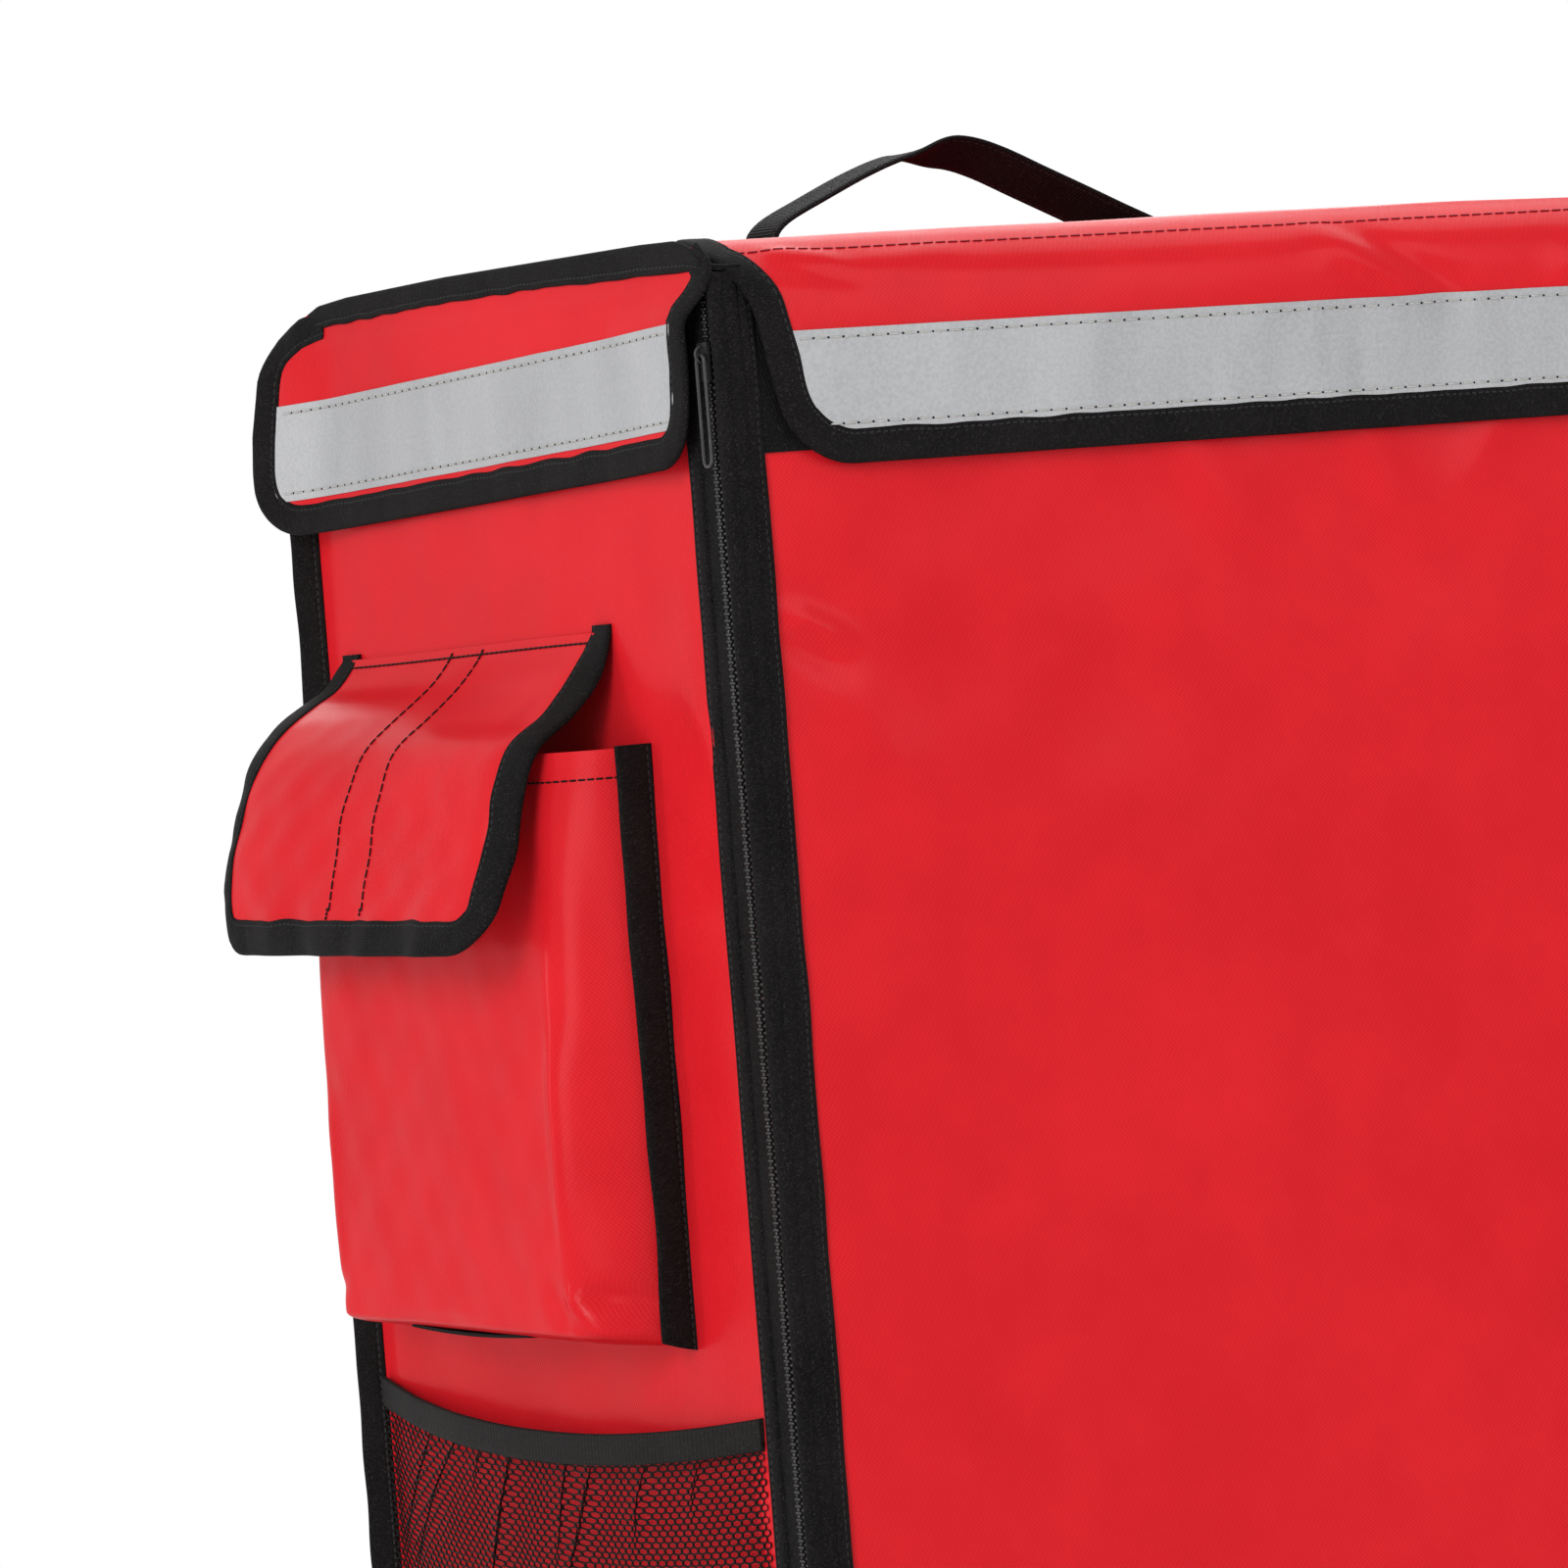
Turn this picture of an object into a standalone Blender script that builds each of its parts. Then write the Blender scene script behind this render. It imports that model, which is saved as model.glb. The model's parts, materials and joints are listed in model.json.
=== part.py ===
"""Insulated food delivery backpack, closed and standing on its base.

Metres, +Z up. The front panel faces -Y, the wearer's back is at +Y and the side with
the bellows pocket is at -X. The origin is the middle of the base, on the floor.
"""
import math

import bmesh
import bpy
from mathutils import Matrix, Vector

# Overall size of the box
BAG_WIDTH = 0.410
BAG_DEPTH = 0.355
BAG_HEIGHT = 0.610

# Sheet stock, boards and the clearance between sewn pieces
SKIN = 0.0012
BOARD = 0.008
BASE_BOARD = 0.010
LINING = 0.0008
GAP = 0.0003
LID_GAP = 0.0005
FOLD_CLEARANCE = 0.0006

# Binding tape
BINDING_WIDTH = 0.012
BINDING_THICKNESS = 0.0025
BASE_BINDING_THICKNESS = 0.0015
FIN_WIDTH = 0.0115
FIN_THICKNESS = 0.0030
TAPE_WALL = 0.0006

# Corner zips
COIL_INSET = 0.0055
COIL_WIDTH = 0.0030
COIL_HEIGHT = 0.0024
COIL_SPLIT = 0.0004
ZIP_TAPE = 0.0009
ZIP_BAND = 0.0225
ZIP_BINDING_WIDTH = 0.0095
ZIP_BINDING_THICKNESS = 0.0018
FRONT_WRAP_WIDTH = 0.014

# Zip slider and puller
SLIDER_LENGTH = 0.014
SLIDER_WALL = 0.0012
SLIDER_DROP = 0.040
BAIL_RADIUS = 0.0030
BAIL_WIRE = 0.0006
PULLER_LENGTH = 0.042
PULLER_WIDTH = 0.0076
PULLER_WIRE = 0.0008

# Lid flaps
FLAP = 0.0015
FLAP_BINDING_WIDTH = 0.0115
FLAP_BINDING_COVER = 0.0030
FLAP_CORNER_RADIUS = 0.022
FLAP_BOTTOM_DROP = 0.083
SIDE_STAND = 0.0040
SIDE_FLAP_CLEARANCE = 0.0008
SIDE_FLAP_BACK_REACH = 0.010
FRONT_FLAP_TOP_INSET = 0.007
FRONT_FLAP_BOTTOM_INSET = 0.031
STRIP_WIDTH = 0.038
STRIP_THICKNESS = 0.0005
STRIP_DROP = 0.031
LOOP_STRIP_THICKNESS = 0.0012
LOOP_STRIP_WIDTH = 0.048
LOOP_STRIP_DROP = 0.029
HOOK_STRIP_THICKNESS = 0.0012
HOOK_STRIP_WIDTH = 0.024
HOOK_STRIP_DROP = 0.040
HOOK_STRIP_LENGTH = 0.300

# Carrying handle on the lid
HANDLE_SPAN = 0.172
HANDLE_RISE = 0.041
HANDLE_WIDTH = 0.025
HANDLE_FOOT_WIDTH = 0.013
HANDLE_THICKNESS = 0.0022
HANDLE_TAIL_LENGTH = 0.040
HANDLE_TAIL_THICKNESS = 0.0014

# Bellows pocket on the left side
POCKET_FRONT_SETBACK = 0.0775
POCKET_WIDTH = 0.254
POCKET_BOTTOM = 0.209
POCKET_TOP = 0.431
POCKET_BULGE = 0.037
POCKET_FIN_WIDTH = 0.0145
POCKET_GUSSET = 0.026
POCKET_BOTTOM_FOLD = 0.022
POCKET_MOUTH_TUCK = 0.006
POCKET_FLAP_SETBACK = 0.109
POCKET_FLAP_WIDTH = 0.227
POCKET_FLAP_SEAM = 0.4735
POCKET_FLAP_LENGTH = 0.134
POCKET_FLAP_DROP = 0.1145
POCKET_FLAP_REACH = 0.064
POCKET_FLAP_RADIUS = 0.020

# Net pockets low on both sides
NET = 0.0010
NET_TOP = 0.185
NET_SAG = 0.013
NET_BULGE = 0.013
NET_BAND_WIDTH = 0.012
NET_BAND_THICKNESS = 0.0022
NET_MARGIN = 0.0015

# Back pads, shoulder straps and their webbing
PAD_WIDTH = 0.105
PAD_HEIGHT = 0.400
PAD_THICKNESS = 0.014
PAD_SPACING = 0.150
PAD_BOTTOM = 0.075
YOKE_WIDTH = 0.230
YOKE_HEIGHT = 0.060
YOKE_THICKNESS = 0.0025
YOKE_TOP_DROP = 0.045
STRAP_WIDTH = 0.062
STRAP_THICKNESS = 0.011
STRAP_SPACING = 0.150
STRAP_LENGTH_DROP = 0.330
STRAP_BOW = 0.080
STRAP_TOP_DROP = 0.085
LOCK_WIDTH = 0.034
LOCK_HEIGHT = 0.030
LOCK_THICKNESS = 0.0035
LOCK_BAR = 0.0045
LOCK_SLOT = 0.0055
WEBBING_WIDTH = 0.025
WEBBING = 0.0014
WEBBING_END_HEIGHT = 0.030
WEBBING_TAIL = 0.075

# How finely curves are cut
CORNER_STEPS = 5
TUBE_RESOLUTION = 2

# Shapes as shares of the sizes that they follow: (drop share, reach share) down a flap
POCKET_FLAP_PROFILE_SHARES = (
    (0.00, 0.00), (0.08, 0.05), (0.16, 0.16), (0.24, 0.35), (0.31, 0.52),
    (0.45, 0.69), (0.64, 0.84), (0.82, 0.94), (1.00, 1.00))
# Shoulder strap seen from the side: (drop share, bow share)
STRAP_PROFILE_SHARES = (
    (0.05, 0.00), (-0.01, 0.00), (-0.045, 0.07), (-0.06, 0.22), (-0.03, 0.40),
    (0.10, 0.67), (0.32, 0.93), (0.55, 1.00), (0.78, 0.88), (1.00, 0.66))
# Half of the handle seen from the front: (half span share, rise share)
HANDLE_PROFILE_SHARES = ((1.0, 0.0), (1.0, 0.17), (0.955, 0.36), (0.72, 0.67), (0.40, 0.90))
PULLER_BEND_SHARE = 0.9
WEBBING_LOW_SHARE = 0.30
WEBBING_HIGH_SHARE = 0.80
CUSHION_DRAW_SHARE = 0.05
CUSHION_EDGE_SHARE = 0.45

# Powers and factors that set how steeply a curved sheet rises from its edges
GUSSET_POWER = 0.8
FOLD_POWER = 0.7
ROW_POWER = 1.6
NET_RISE = 1.6
NET_POWER = 2.6
CUSHION_POWER = 8

HALF_WIDTH = BAG_WIDTH / 2
HALF_DEPTH = BAG_DEPTH / 2
FRONT = -HALF_DEPTH
BACK = HALF_DEPTH
LID_BOTTOM = BAG_HEIGHT - SKIN - BOARD - LINING - 2 * GAP
RIM = LID_BOTTOM - LID_GAP
BASE_TOP = SKIN + GAP + BASE_BOARD
# The side panels start behind the whole thickness of the front panel
FRONT_STOP = FRONT + SKIN + BOARD + LINING + 2 * GAP + FOLD_CLEARANCE
COIL_LINE = FRONT + COIL_INSET
SEAM_BOTTOM = BINDING_WIDTH + GAP
FRONT_FACE_REACH = ZIP_BINDING_THICKNESS + GAP
FRONT_HINGE = Vector((0, FRONT - FRONT_FACE_REACH, SEAM_BOTTOM))
FRONT_BOTTOM = SEAM_BOTTOM + GAP
INNER_HALF_WIDTH = HALF_WIDTH - SKIN - BOARD - 2 * GAP
INNER_BACK = BACK - SKIN - BOARD - 2 * GAP
FRONT_STAND = LOOP_STRIP_THICKNESS + HOOK_STRIP_THICKNESS + 3 * GAP
FLAP_BINDING_THICKNESS = FLAP + 2 * (GAP + TAPE_WALL)
FRONT_FLAP_FACE = FRONT - FRONT_STAND - FLAP
SIDE_FLAP_FACE = HALF_WIDTH + SIDE_STAND + FLAP
# The side flaps fold up about the outer face of their own binding
SIDE_FLAP_PIVOT = SIDE_FLAP_FACE + GAP + TAPE_WALL
LID_HALF_WIDTH = SIDE_FLAP_FACE - BINDING_THICKNESS - GAP
SIDE_FLAP_TOP = BAG_HEIGHT - BINDING_WIDTH - GAP
FRONT_FLAP_TOP = BAG_HEIGHT - SKIN - GAP
FLAP_BOTTOM = BAG_HEIGHT - FLAP_BOTTOM_DROP
SLIDER_BACK = COIL_WIDTH + GAP + SLIDER_WALL
SIDE_FLAP_FRONT = COIL_LINE + SLIDER_BACK + SIDE_FLAP_CLEARANCE
LID_HINGE = Vector((0, BACK + GAP, BAG_HEIGHT - SKIN / 2))


def clear_scene():
    """Remove whatever objects the open file holds."""
    for existing in list(bpy.data.objects):
        bpy.data.objects.remove(existing, do_unlink=True)


def make_collection(name):
    """Return a new collection linked to the scene."""
    collection = bpy.data.collections.new(name)
    bpy.context.scene.collection.children.link(collection)
    return collection


def make_material(name, colour, roughness, metallic=0.0):
    """Return a Principled material of one colour."""
    material = bpy.data.materials.new(name)
    material.use_nodes = True
    shader = material.node_tree.nodes["Principled BSDF"]
    shader.inputs["Base Color"].default_value = (*colour, 1.0)
    shader.inputs["Roughness"].default_value = roughness
    shader.inputs["Metallic"].default_value = metallic
    material.diffuse_color = (*colour, 1.0)
    return material


clear_scene()
PARTS = make_collection("food_delivery_backpack")
CUTTERS = make_collection("cutters")

RED = make_material("red_tarpaulin", (0.72, 0.02, 0.03), 0.38)
BLACK = make_material("black_binding", (0.012, 0.012, 0.013), 0.85)
FOAM = make_material("insulation_foam", (0.80, 0.80, 0.78), 0.9)
FOIL = make_material("foil_lining", (0.80, 0.81, 0.83), 0.28, 0.9)
SILVER = make_material("reflective_strip", (0.42, 0.43, 0.46), 0.45, 0.2)
WEB = make_material("black_webbing", (0.010, 0.010, 0.011), 0.8)
NET_BLACK = make_material("black_net", (0.012, 0.012, 0.013), 0.75)
PLASTIC = make_material("black_plastic", (0.012, 0.012, 0.013), 0.35)
METAL = make_material("painted_zip_metal", (0.014, 0.014, 0.016), 0.25, 0.4)
PAD = make_material("black_air_mesh", (0.016, 0.016, 0.017), 0.95)
STIFFENER = make_material("base_stiffener", (0.55, 0.55, 0.53), 0.85)


def joint_empty(name, place, parent=None):
    """Return an empty on a joint's axis, for its moving pieces to hang from."""
    empty = bpy.data.objects.new(name, None)
    PARTS.objects.link(empty)
    empty.empty_display_size = BINDING_WIDTH
    if parent is not None:
        empty.parent = parent
        empty.location = place - world_place(parent)
    else:
        empty.location = place
    return empty


def world_place(empty):
    """Return where an empty stands, adding up its parents."""
    place = Vector(empty.location)
    while empty.parent is not None:
        empty = empty.parent
        place += Vector(empty.location)
    return place


def finish(name, mesh, material, parent=None, smooth=False):
    """Make a part of a mesh that is already in world coordinates."""
    part = bpy.data.objects.new(name, mesh)
    PARTS.objects.link(part)
    mesh.materials.clear()
    mesh.materials.append(material)
    if smooth:
        mesh.shade_smooth()
        mesh.set_sharp_from_angle(angle=math.radians(40))
    if parent is not None:
        origin = world_place(parent)
        mesh.transform(Matrix.Translation(-origin))
        part.parent = parent
    return part


def box_mesh(name, low, high):
    """Return a cube primitive stretched between two corners."""
    mesh = bpy.data.meshes.new(name)
    bm = bmesh.new()
    bmesh.ops.create_cube(bm, size=1.0)
    low, high = Vector(low), Vector(high)
    bmesh.ops.scale(bm, vec=high - low, verts=bm.verts)
    bmesh.ops.translate(bm, vec=(low + high) / 2, verts=bm.verts)
    bm.to_mesh(mesh)
    bm.free()
    return mesh


def box(name, low, high, material, parent=None, edge=0.0):
    """Make a rectangular piece, with its edges rounded by edge."""
    part = finish(name, box_mesh(name, low, high), material, parent)
    if edge:
        bevel = part.modifiers.new("edges", "BEVEL")
        bevel.width = edge
        bevel.segments = 2
    return part


def curve_to_mesh(curve, matrix, weld):
    """Turn a curve into a closed mesh placed by matrix."""
    holder = bpy.data.objects.new("outline", curve)
    PARTS.objects.link(holder)
    bpy.context.view_layer.update()
    evaluated = holder.evaluated_get(bpy.context.evaluated_depsgraph_get())
    mesh = bpy.data.meshes.new_from_object(evaluated)
    bpy.data.objects.remove(holder, do_unlink=True)
    bpy.data.curves.remove(curve)
    bm = bmesh.new()
    bm.from_mesh(mesh)
    bmesh.ops.remove_doubles(bm, verts=bm.verts, dist=weld)
    bmesh.ops.recalc_face_normals(bm, faces=bm.faces)
    bm.to_mesh(mesh)
    bm.free()
    mesh.transform(matrix)
    return mesh


def flat_mesh(outlines, thickness, matrix):
    """Fill flat outlines, the later ones as holes, and thicken them about their plane."""
    curve = bpy.data.curves.new("outline", "CURVE")
    curve.dimensions = "2D"
    curve.fill_mode = "BOTH"
    curve.extrude = thickness / 2
    for outline in outlines:
        spline = curve.splines.new("POLY")
        spline.points.add(len(outline) - 1)
        for point, (a, b) in zip(spline.points, outline):
            point.co = (a, b, 0, 1)
        spline.use_cyclic_u = True
    return curve_to_mesh(curve, matrix, GAP / 10)


def plane_matrix(origin, across, along):
    """Return the matrix of a plane whose own x runs across and whose y runs along."""
    across, along = Vector(across), Vector(along)
    normal = across.cross(along)
    matrix = Matrix((across, along, normal)).transposed().to_4x4()
    matrix.translation = Vector(origin)
    return matrix


def prism_mesh(outline, bottom, top):
    """Raise a plan outline from bottom to top."""
    middle = (bottom + top) / 2
    return flat_mesh([outline], top - bottom, Matrix.Translation((0, 0, middle)))


def grid_mesh(name, columns, rows, place):
    """Return a grid primitive whose points are laid at place(u, v), with u and v from 0 to 1."""
    mesh = bpy.data.meshes.new(name)
    bm = bmesh.new()
    bmesh.ops.create_grid(bm, x_segments=columns, y_segments=rows, size=0.5)
    for vertex in bm.verts:
        vertex.co = place(vertex.co.x + 0.5, vertex.co.y + 0.5)
    bm.to_mesh(mesh)
    bm.free()
    return mesh


def thicken(part, thickness):
    """Give an open sheet its thickness, half to each side."""
    solid = part.modifiers.new("thickness", "SOLIDIFY")
    solid.thickness = thickness
    solid.offset = 0
    solid.use_even_offset = True


def sheet(name, columns, rows, place, thickness, material, parent=None):
    """Make a sheet of even thickness on a surface given by place(u, v)."""
    part = finish(name, grid_mesh(name, columns, rows, place), material, parent, smooth=True)
    thicken(part, thickness)
    return part


def cutter(name, mesh):
    """Make a hidden object for Boolean modifiers to cut with."""
    tool = bpy.data.objects.new(name, mesh)
    CUTTERS.objects.link(tool)
    tool.hide_render = True
    tool.display_type = "WIRE"
    return tool


def boolean(part, tool, operation="DIFFERENCE"):
    """Cut a part with a tool, or join the tool to it."""
    modifier = part.modifiers.new(operation.lower(), "BOOLEAN")
    modifier.operation = operation
    modifier.object = tool
    modifier.solver = "EXACT"


def smooth_path(points, steps):
    """Return points on a smooth curve through the given ones, with steps to each span."""
    points = [Vector(p) for p in points]
    padded = [2 * points[0] - points[1]] + points + [2 * points[-1] - points[-2]]
    path = []
    for i in range(1, len(padded) - 2):
        before, start, end, after = padded[i - 1:i + 3]
        for step in range(steps):
            t = step / steps
            path.append(0.5 * (2 * start + (end - before) * t
                               + (2 * before - 5 * start + 4 * end - after) * t ** 2
                               + (3 * start - before - 3 * end + after) * t ** 3))
    path.append(points[-1])
    return path


class Route:
    """A path that is read by the distance travelled along it."""

    def __init__(self, points):
        self.points = points
        self.marks = [0.0]
        for start, end in zip(points, points[1:]):
            self.marks.append(self.marks[-1] + (end - start).length)
        self.length = self.marks[-1]

    def at(self, distance):
        """Return the point at a distance; past either end the path runs on straight."""
        last = len(self.points) - 2
        span = 0
        while span < last and self.marks[span + 1] < distance:
            span += 1
        size = self.marks[span + 1] - self.marks[span]
        return self.points[span].lerp(self.points[span + 1], (distance - self.marks[span]) / size)


class FlapShape:
    """Outline of a flap: two side edges that may lean, a bottom edge and two round corners.

    a runs across the flap and b down it from the seam. Each inset gives a parallel outline.
    """

    def __init__(self, tops, bottoms, length, radius):
        self.tops = tops
        self.bottoms = bottoms
        self.length = length
        self.radius = radius

    def edge(self, side, b, inset=0.0):
        """Return a on the side edge (0 at low a, 1 at high a) at the depth b."""
        lean = (self.bottoms[side] - self.tops[side]) / self.length
        sign = 2 * side - 1
        return self.tops[side] + lean * b - sign * inset * math.hypot(1, lean)

    def corner_centre(self, side):
        """Return the middle of a round corner."""
        centre_b = self.length - self.radius
        return Vector((self.edge(side, centre_b, self.radius), centre_b))

    def reach(self, side, b, inset):
        """Return a on a parallel outline at the depth b, with its round corner."""
        centre = self.corner_centre(side)
        straight = self.edge(side, b, inset)
        if b <= centre.y:
            return straight
        sign = 2 * side - 1
        bent = centre.x + sign * math.sqrt(max((self.radius - inset) ** 2 - (b - centre.y) ** 2, 0))
        return sign * min(sign * straight, sign * bent)

    def stripe(self, top, bottom, inset):
        """Return the outline of a strip across the flap, as (a, height above the seam)."""
        depths = [top + (bottom - top) * step / CORNER_STEPS for step in range(CORNER_STEPS + 1)]
        low = [(self.reach(0, b, inset), -b) for b in depths]
        high = [(self.reach(1, b, inset), -b) for b in depths]
        return low + high[::-1]

    def side_points(self, side, inset, side_steps):
        """Return the points of one side edge and its corner, from the seam down."""
        sign = 2 * side - 1
        lean = (self.bottoms[side] - self.tops[side]) / self.length
        normal = Vector((sign, -sign * lean)).normalized()
        centre = self.corner_centre(side)
        start_angle = math.atan2(normal.y, normal.x * sign)
        radius = self.radius - inset
        tangent = centre + normal * radius
        top = Vector((self.edge(side, 0, inset), 0))
        points = [top.lerp(tangent, step / side_steps) for step in range(side_steps)]
        for step in range(CORNER_STEPS + 1):
            angle = start_angle + (math.pi / 2 - start_angle) * step / CORNER_STEPS
            points.append(centre + radius * Vector((sign * math.cos(angle), math.sin(angle))))
        return points

    def panel(self, inset, surface, side_steps, run_out=0.0):
        """Return a sheet's place function for the inside of the outline, and its row count.

        A run_out adds a row that far above the seam.
        """
        low = self.side_points(0, inset, side_steps)
        high = self.side_points(1, inset, side_steps)
        if run_out:
            low.insert(0, Vector((self.edge(0, -run_out, inset), -run_out)))
            high.insert(0, Vector((self.edge(1, -run_out, inset), -run_out)))
        rows = len(low) - 1

        def place(u, v):
            row = round(v * rows)
            point = low[row].lerp(high[row], u)
            return surface(point.x, point.y)

        return place, rows

    def band(self, inset, width, surface, side_steps, bottom_steps):
        """Return a place function for a band that follows the free edges, and its step count."""
        def run(distance):
            low = self.side_points(0, distance, side_steps)
            high = self.side_points(1, distance, side_steps)
            bottom = [low[-1].lerp(high[-1], step / bottom_steps) for step in range(1, bottom_steps)]
            return low + bottom + high[::-1]
        outer, inner = run(inset), run(inset + width)
        count = len(outer) - 1

        def place(u, v):
            step = round(u * count)
            point = outer[step].lerp(inner[step], v)
            return surface(point.x, point.y)

        return place, count


def bound_flap(name, shape, surface, columns, side_steps, parent):
    """Make a flap and the binding that folds over its three free edges."""
    place, rows = shape.panel(FLAP_BINDING_COVER + GAP, surface, side_steps)
    sheet(name, columns, rows, place, FLAP, RED, parent)
    place, count = shape.band(0.0, FLAP_BINDING_WIDTH, surface, side_steps, columns)
    binding = sheet(name + "_binding", count, 1, place, FLAP_BINDING_THICKNESS, BLACK, parent)
    # The groove is cut by a sheet a little thicker than the flap, and it runs out past the seam
    place, rows = shape.panel(FLAP_BINDING_COVER, surface, side_steps, FLAP_BINDING_WIDTH)
    groove = cutter(name + "_groove", grid_mesh(name + "_groove", columns, rows, place))
    thicken(groove, FLAP + 2 * GAP)
    if parent is not None:
        groove.parent = parent
        groove.data.transform(Matrix.Translation(-world_place(parent)))
    boolean(binding, groove)
    return binding


def side_flap(name, side, parent):
    """Make a lid's side flap; side is -1 for left and 1 for right."""
    x = side * (SIDE_FLAP_FACE - FLAP / 2)
    shape = FlapShape((SIDE_FLAP_FRONT, BACK + SIDE_FLAP_BACK_REACH),
                      (SIDE_FLAP_FRONT, BACK + SIDE_FLAP_BACK_REACH),
                      SIDE_FLAP_TOP - FLAP_BOTTOM, FLAP_CORNER_RADIUS)

    def surface(a, b):
        return Vector((x, a, SIDE_FLAP_TOP - b))

    bound_flap(name, shape, surface, 2, 1, parent)
    top = STRIP_DROP - (BAG_HEIGHT - SIDE_FLAP_TOP)
    outline = shape.stripe(top, top + STRIP_WIDTH, FLAP_BINDING_WIDTH + GAP)
    strip_x = side * (SIDE_FLAP_FACE + GAP + STRIP_THICKNESS / 2)
    plane = plane_matrix((strip_x, 0, SIDE_FLAP_TOP), (0, 1, 0), (0, 0, 1))
    finish(name + "_strip", flat_mesh([outline], STRIP_THICKNESS, plane), SILVER, parent)


def front_flap(parent):
    """Make the lid's front flap with its reflective strip and its hook strip."""
    half_top = LID_HALF_WIDTH - FRONT_FLAP_TOP_INSET
    half_bottom = LID_HALF_WIDTH - FRONT_FLAP_BOTTOM_INSET
    shape = FlapShape((-half_top, half_top), (-half_bottom, half_bottom),
                      FRONT_FLAP_TOP - FLAP_BOTTOM, FLAP_CORNER_RADIUS)

    def surface(a, b):
        return Vector((a, FRONT_FLAP_FACE + FLAP / 2, FRONT_FLAP_TOP - b))

    bound_flap("front_flap", shape, surface, 2, 1, parent)
    top = STRIP_DROP - (BAG_HEIGHT - FRONT_FLAP_TOP)
    outline = shape.stripe(top, top + STRIP_WIDTH, FLAP_BINDING_WIDTH + GAP)
    plane = plane_matrix((0, FRONT_FLAP_FACE - GAP - STRIP_THICKNESS / 2, FRONT_FLAP_TOP),
                         (1, 0, 0), (0, 0, 1))
    finish("front_flap_strip", flat_mesh([outline], STRIP_THICKNESS, plane), SILVER, parent)
    back_face = FRONT_FLAP_FACE + FLAP + GAP
    high = BAG_HEIGHT - HOOK_STRIP_DROP
    box("front_hook_strip", (-HOOK_STRIP_LENGTH / 2, back_face, high - HOOK_STRIP_WIDTH),
        (HOOK_STRIP_LENGTH / 2, back_face + HOOK_STRIP_THICKNESS, high), BLACK, parent)


def base():
    """Make the bottom sheet, its board and the binding round the bottom seam."""
    box("base_panel", (-HALF_WIDTH, FRONT, 0), (HALF_WIDTH, BACK, SKIN), RED)
    side = HALF_WIDTH - SKIN - GAP
    box("base_board", (-side, FRONT + GAP, SKIN + GAP), (side, BACK - SKIN - GAP, BASE_TOP),
        STIFFENER)

    def ring(grow):
        x, y = HALF_WIDTH + grow, HALF_DEPTH + grow
        return [(-x, -y), (x, -y), (x, y), (-x, y)]

    plane = Matrix.Translation((0, 0, BINDING_WIDTH / 2))
    mesh = flat_mesh([ring(GAP + BASE_BINDING_THICKNESS), ring(GAP)], BINDING_WIDTH, plane)
    finish("base_binding", mesh, BLACK)


def walls():
    """Make the outer sheets, the foam boards and the foil tub of the fixed walls."""
    skin_bottom = SKIN + GAP
    board_bottom = BASE_TOP + GAP
    board_back = BACK - SKIN - GAP - BOARD
    box("back_panel", (-HALF_WIDTH, BACK - SKIN, skin_bottom), (HALF_WIDTH, BACK, RIM), RED)
    board_side = HALF_WIDTH - SKIN - GAP
    box("back_board", (-board_side, board_back, board_bottom),
        (board_side, BACK - SKIN - GAP, RIM), FOAM)
    for name, side in (("left", -1), ("right", 1)):
        outer = side * HALF_WIDTH
        inner = side * (HALF_WIDTH - SKIN)
        box(name + "_panel", (min(outer, inner), FRONT_STOP, skin_bottom),
            (max(outer, inner), BACK - SKIN - GAP, RIM), RED)
        outer = side * board_side
        inner = side * (board_side - BOARD)
        box(name + "_board", (min(outer, inner), FRONT_STOP, board_bottom),
            (max(outer, inner), board_back - GAP, RIM), FOAM)
    low = (-INNER_HALF_WIDTH, FRONT_STOP, board_bottom)
    high = (INNER_HALF_WIDTH, INNER_BACK, RIM)
    tub = box("foil_lining", low, high, FOIL)
    # The cut runs out of the tub's front and top
    room = box_mesh("tub_room", (-INNER_HALF_WIDTH + LINING, FRONT_STOP - BOARD, board_bottom + LINING),
                    (INNER_HALF_WIDTH - LINING, INNER_BACK - LINING, RIM + BOARD))
    boolean(tub, cutter("tub_room", room))


def back_fins():
    """Make the bound seams that stand out diagonally at the two back corners."""
    root = GAP * math.sqrt(2)
    half = FIN_THICKNESS / 2
    tip = root + FIN_WIDTH
    profile = [(root, -half), (tip - half, -half), (tip, 0), (tip - half, half), (root, half)]
    diagonal = 1 / math.sqrt(2)
    top = FLAP_BOTTOM - BINDING_THICKNESS
    for name, side in (("left", -1), ("right", 1)):
        outline = [(side * (HALF_WIDTH + (out - wide) * diagonal), BACK + (out + wide) * diagonal)
                   for out, wide in profile]
        finish("back_" + name + "_binding", prism_mesh(outline, SEAM_BOTTOM, top), BLACK)


def side_zip_outline(side):
    """Return the plan outline of a zip's half on the side panel."""
    steps = (
        (GAP, COIL_SPLIT / 2), (GAP, ZIP_BAND), (GAP + ZIP_BINDING_THICKNESS, ZIP_BAND),
        (GAP + ZIP_BINDING_THICKNESS, ZIP_BAND - ZIP_BINDING_WIDTH),
        (GAP + ZIP_TAPE, ZIP_BAND - ZIP_BINDING_WIDTH), (GAP + ZIP_TAPE, COIL_WIDTH),
        (GAP + COIL_HEIGHT, COIL_WIDTH), (GAP + COIL_HEIGHT, COIL_SPLIT / 2))
    return [(side * (HALF_WIDTH + out), COIL_LINE + back) for out, back in steps]


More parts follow.
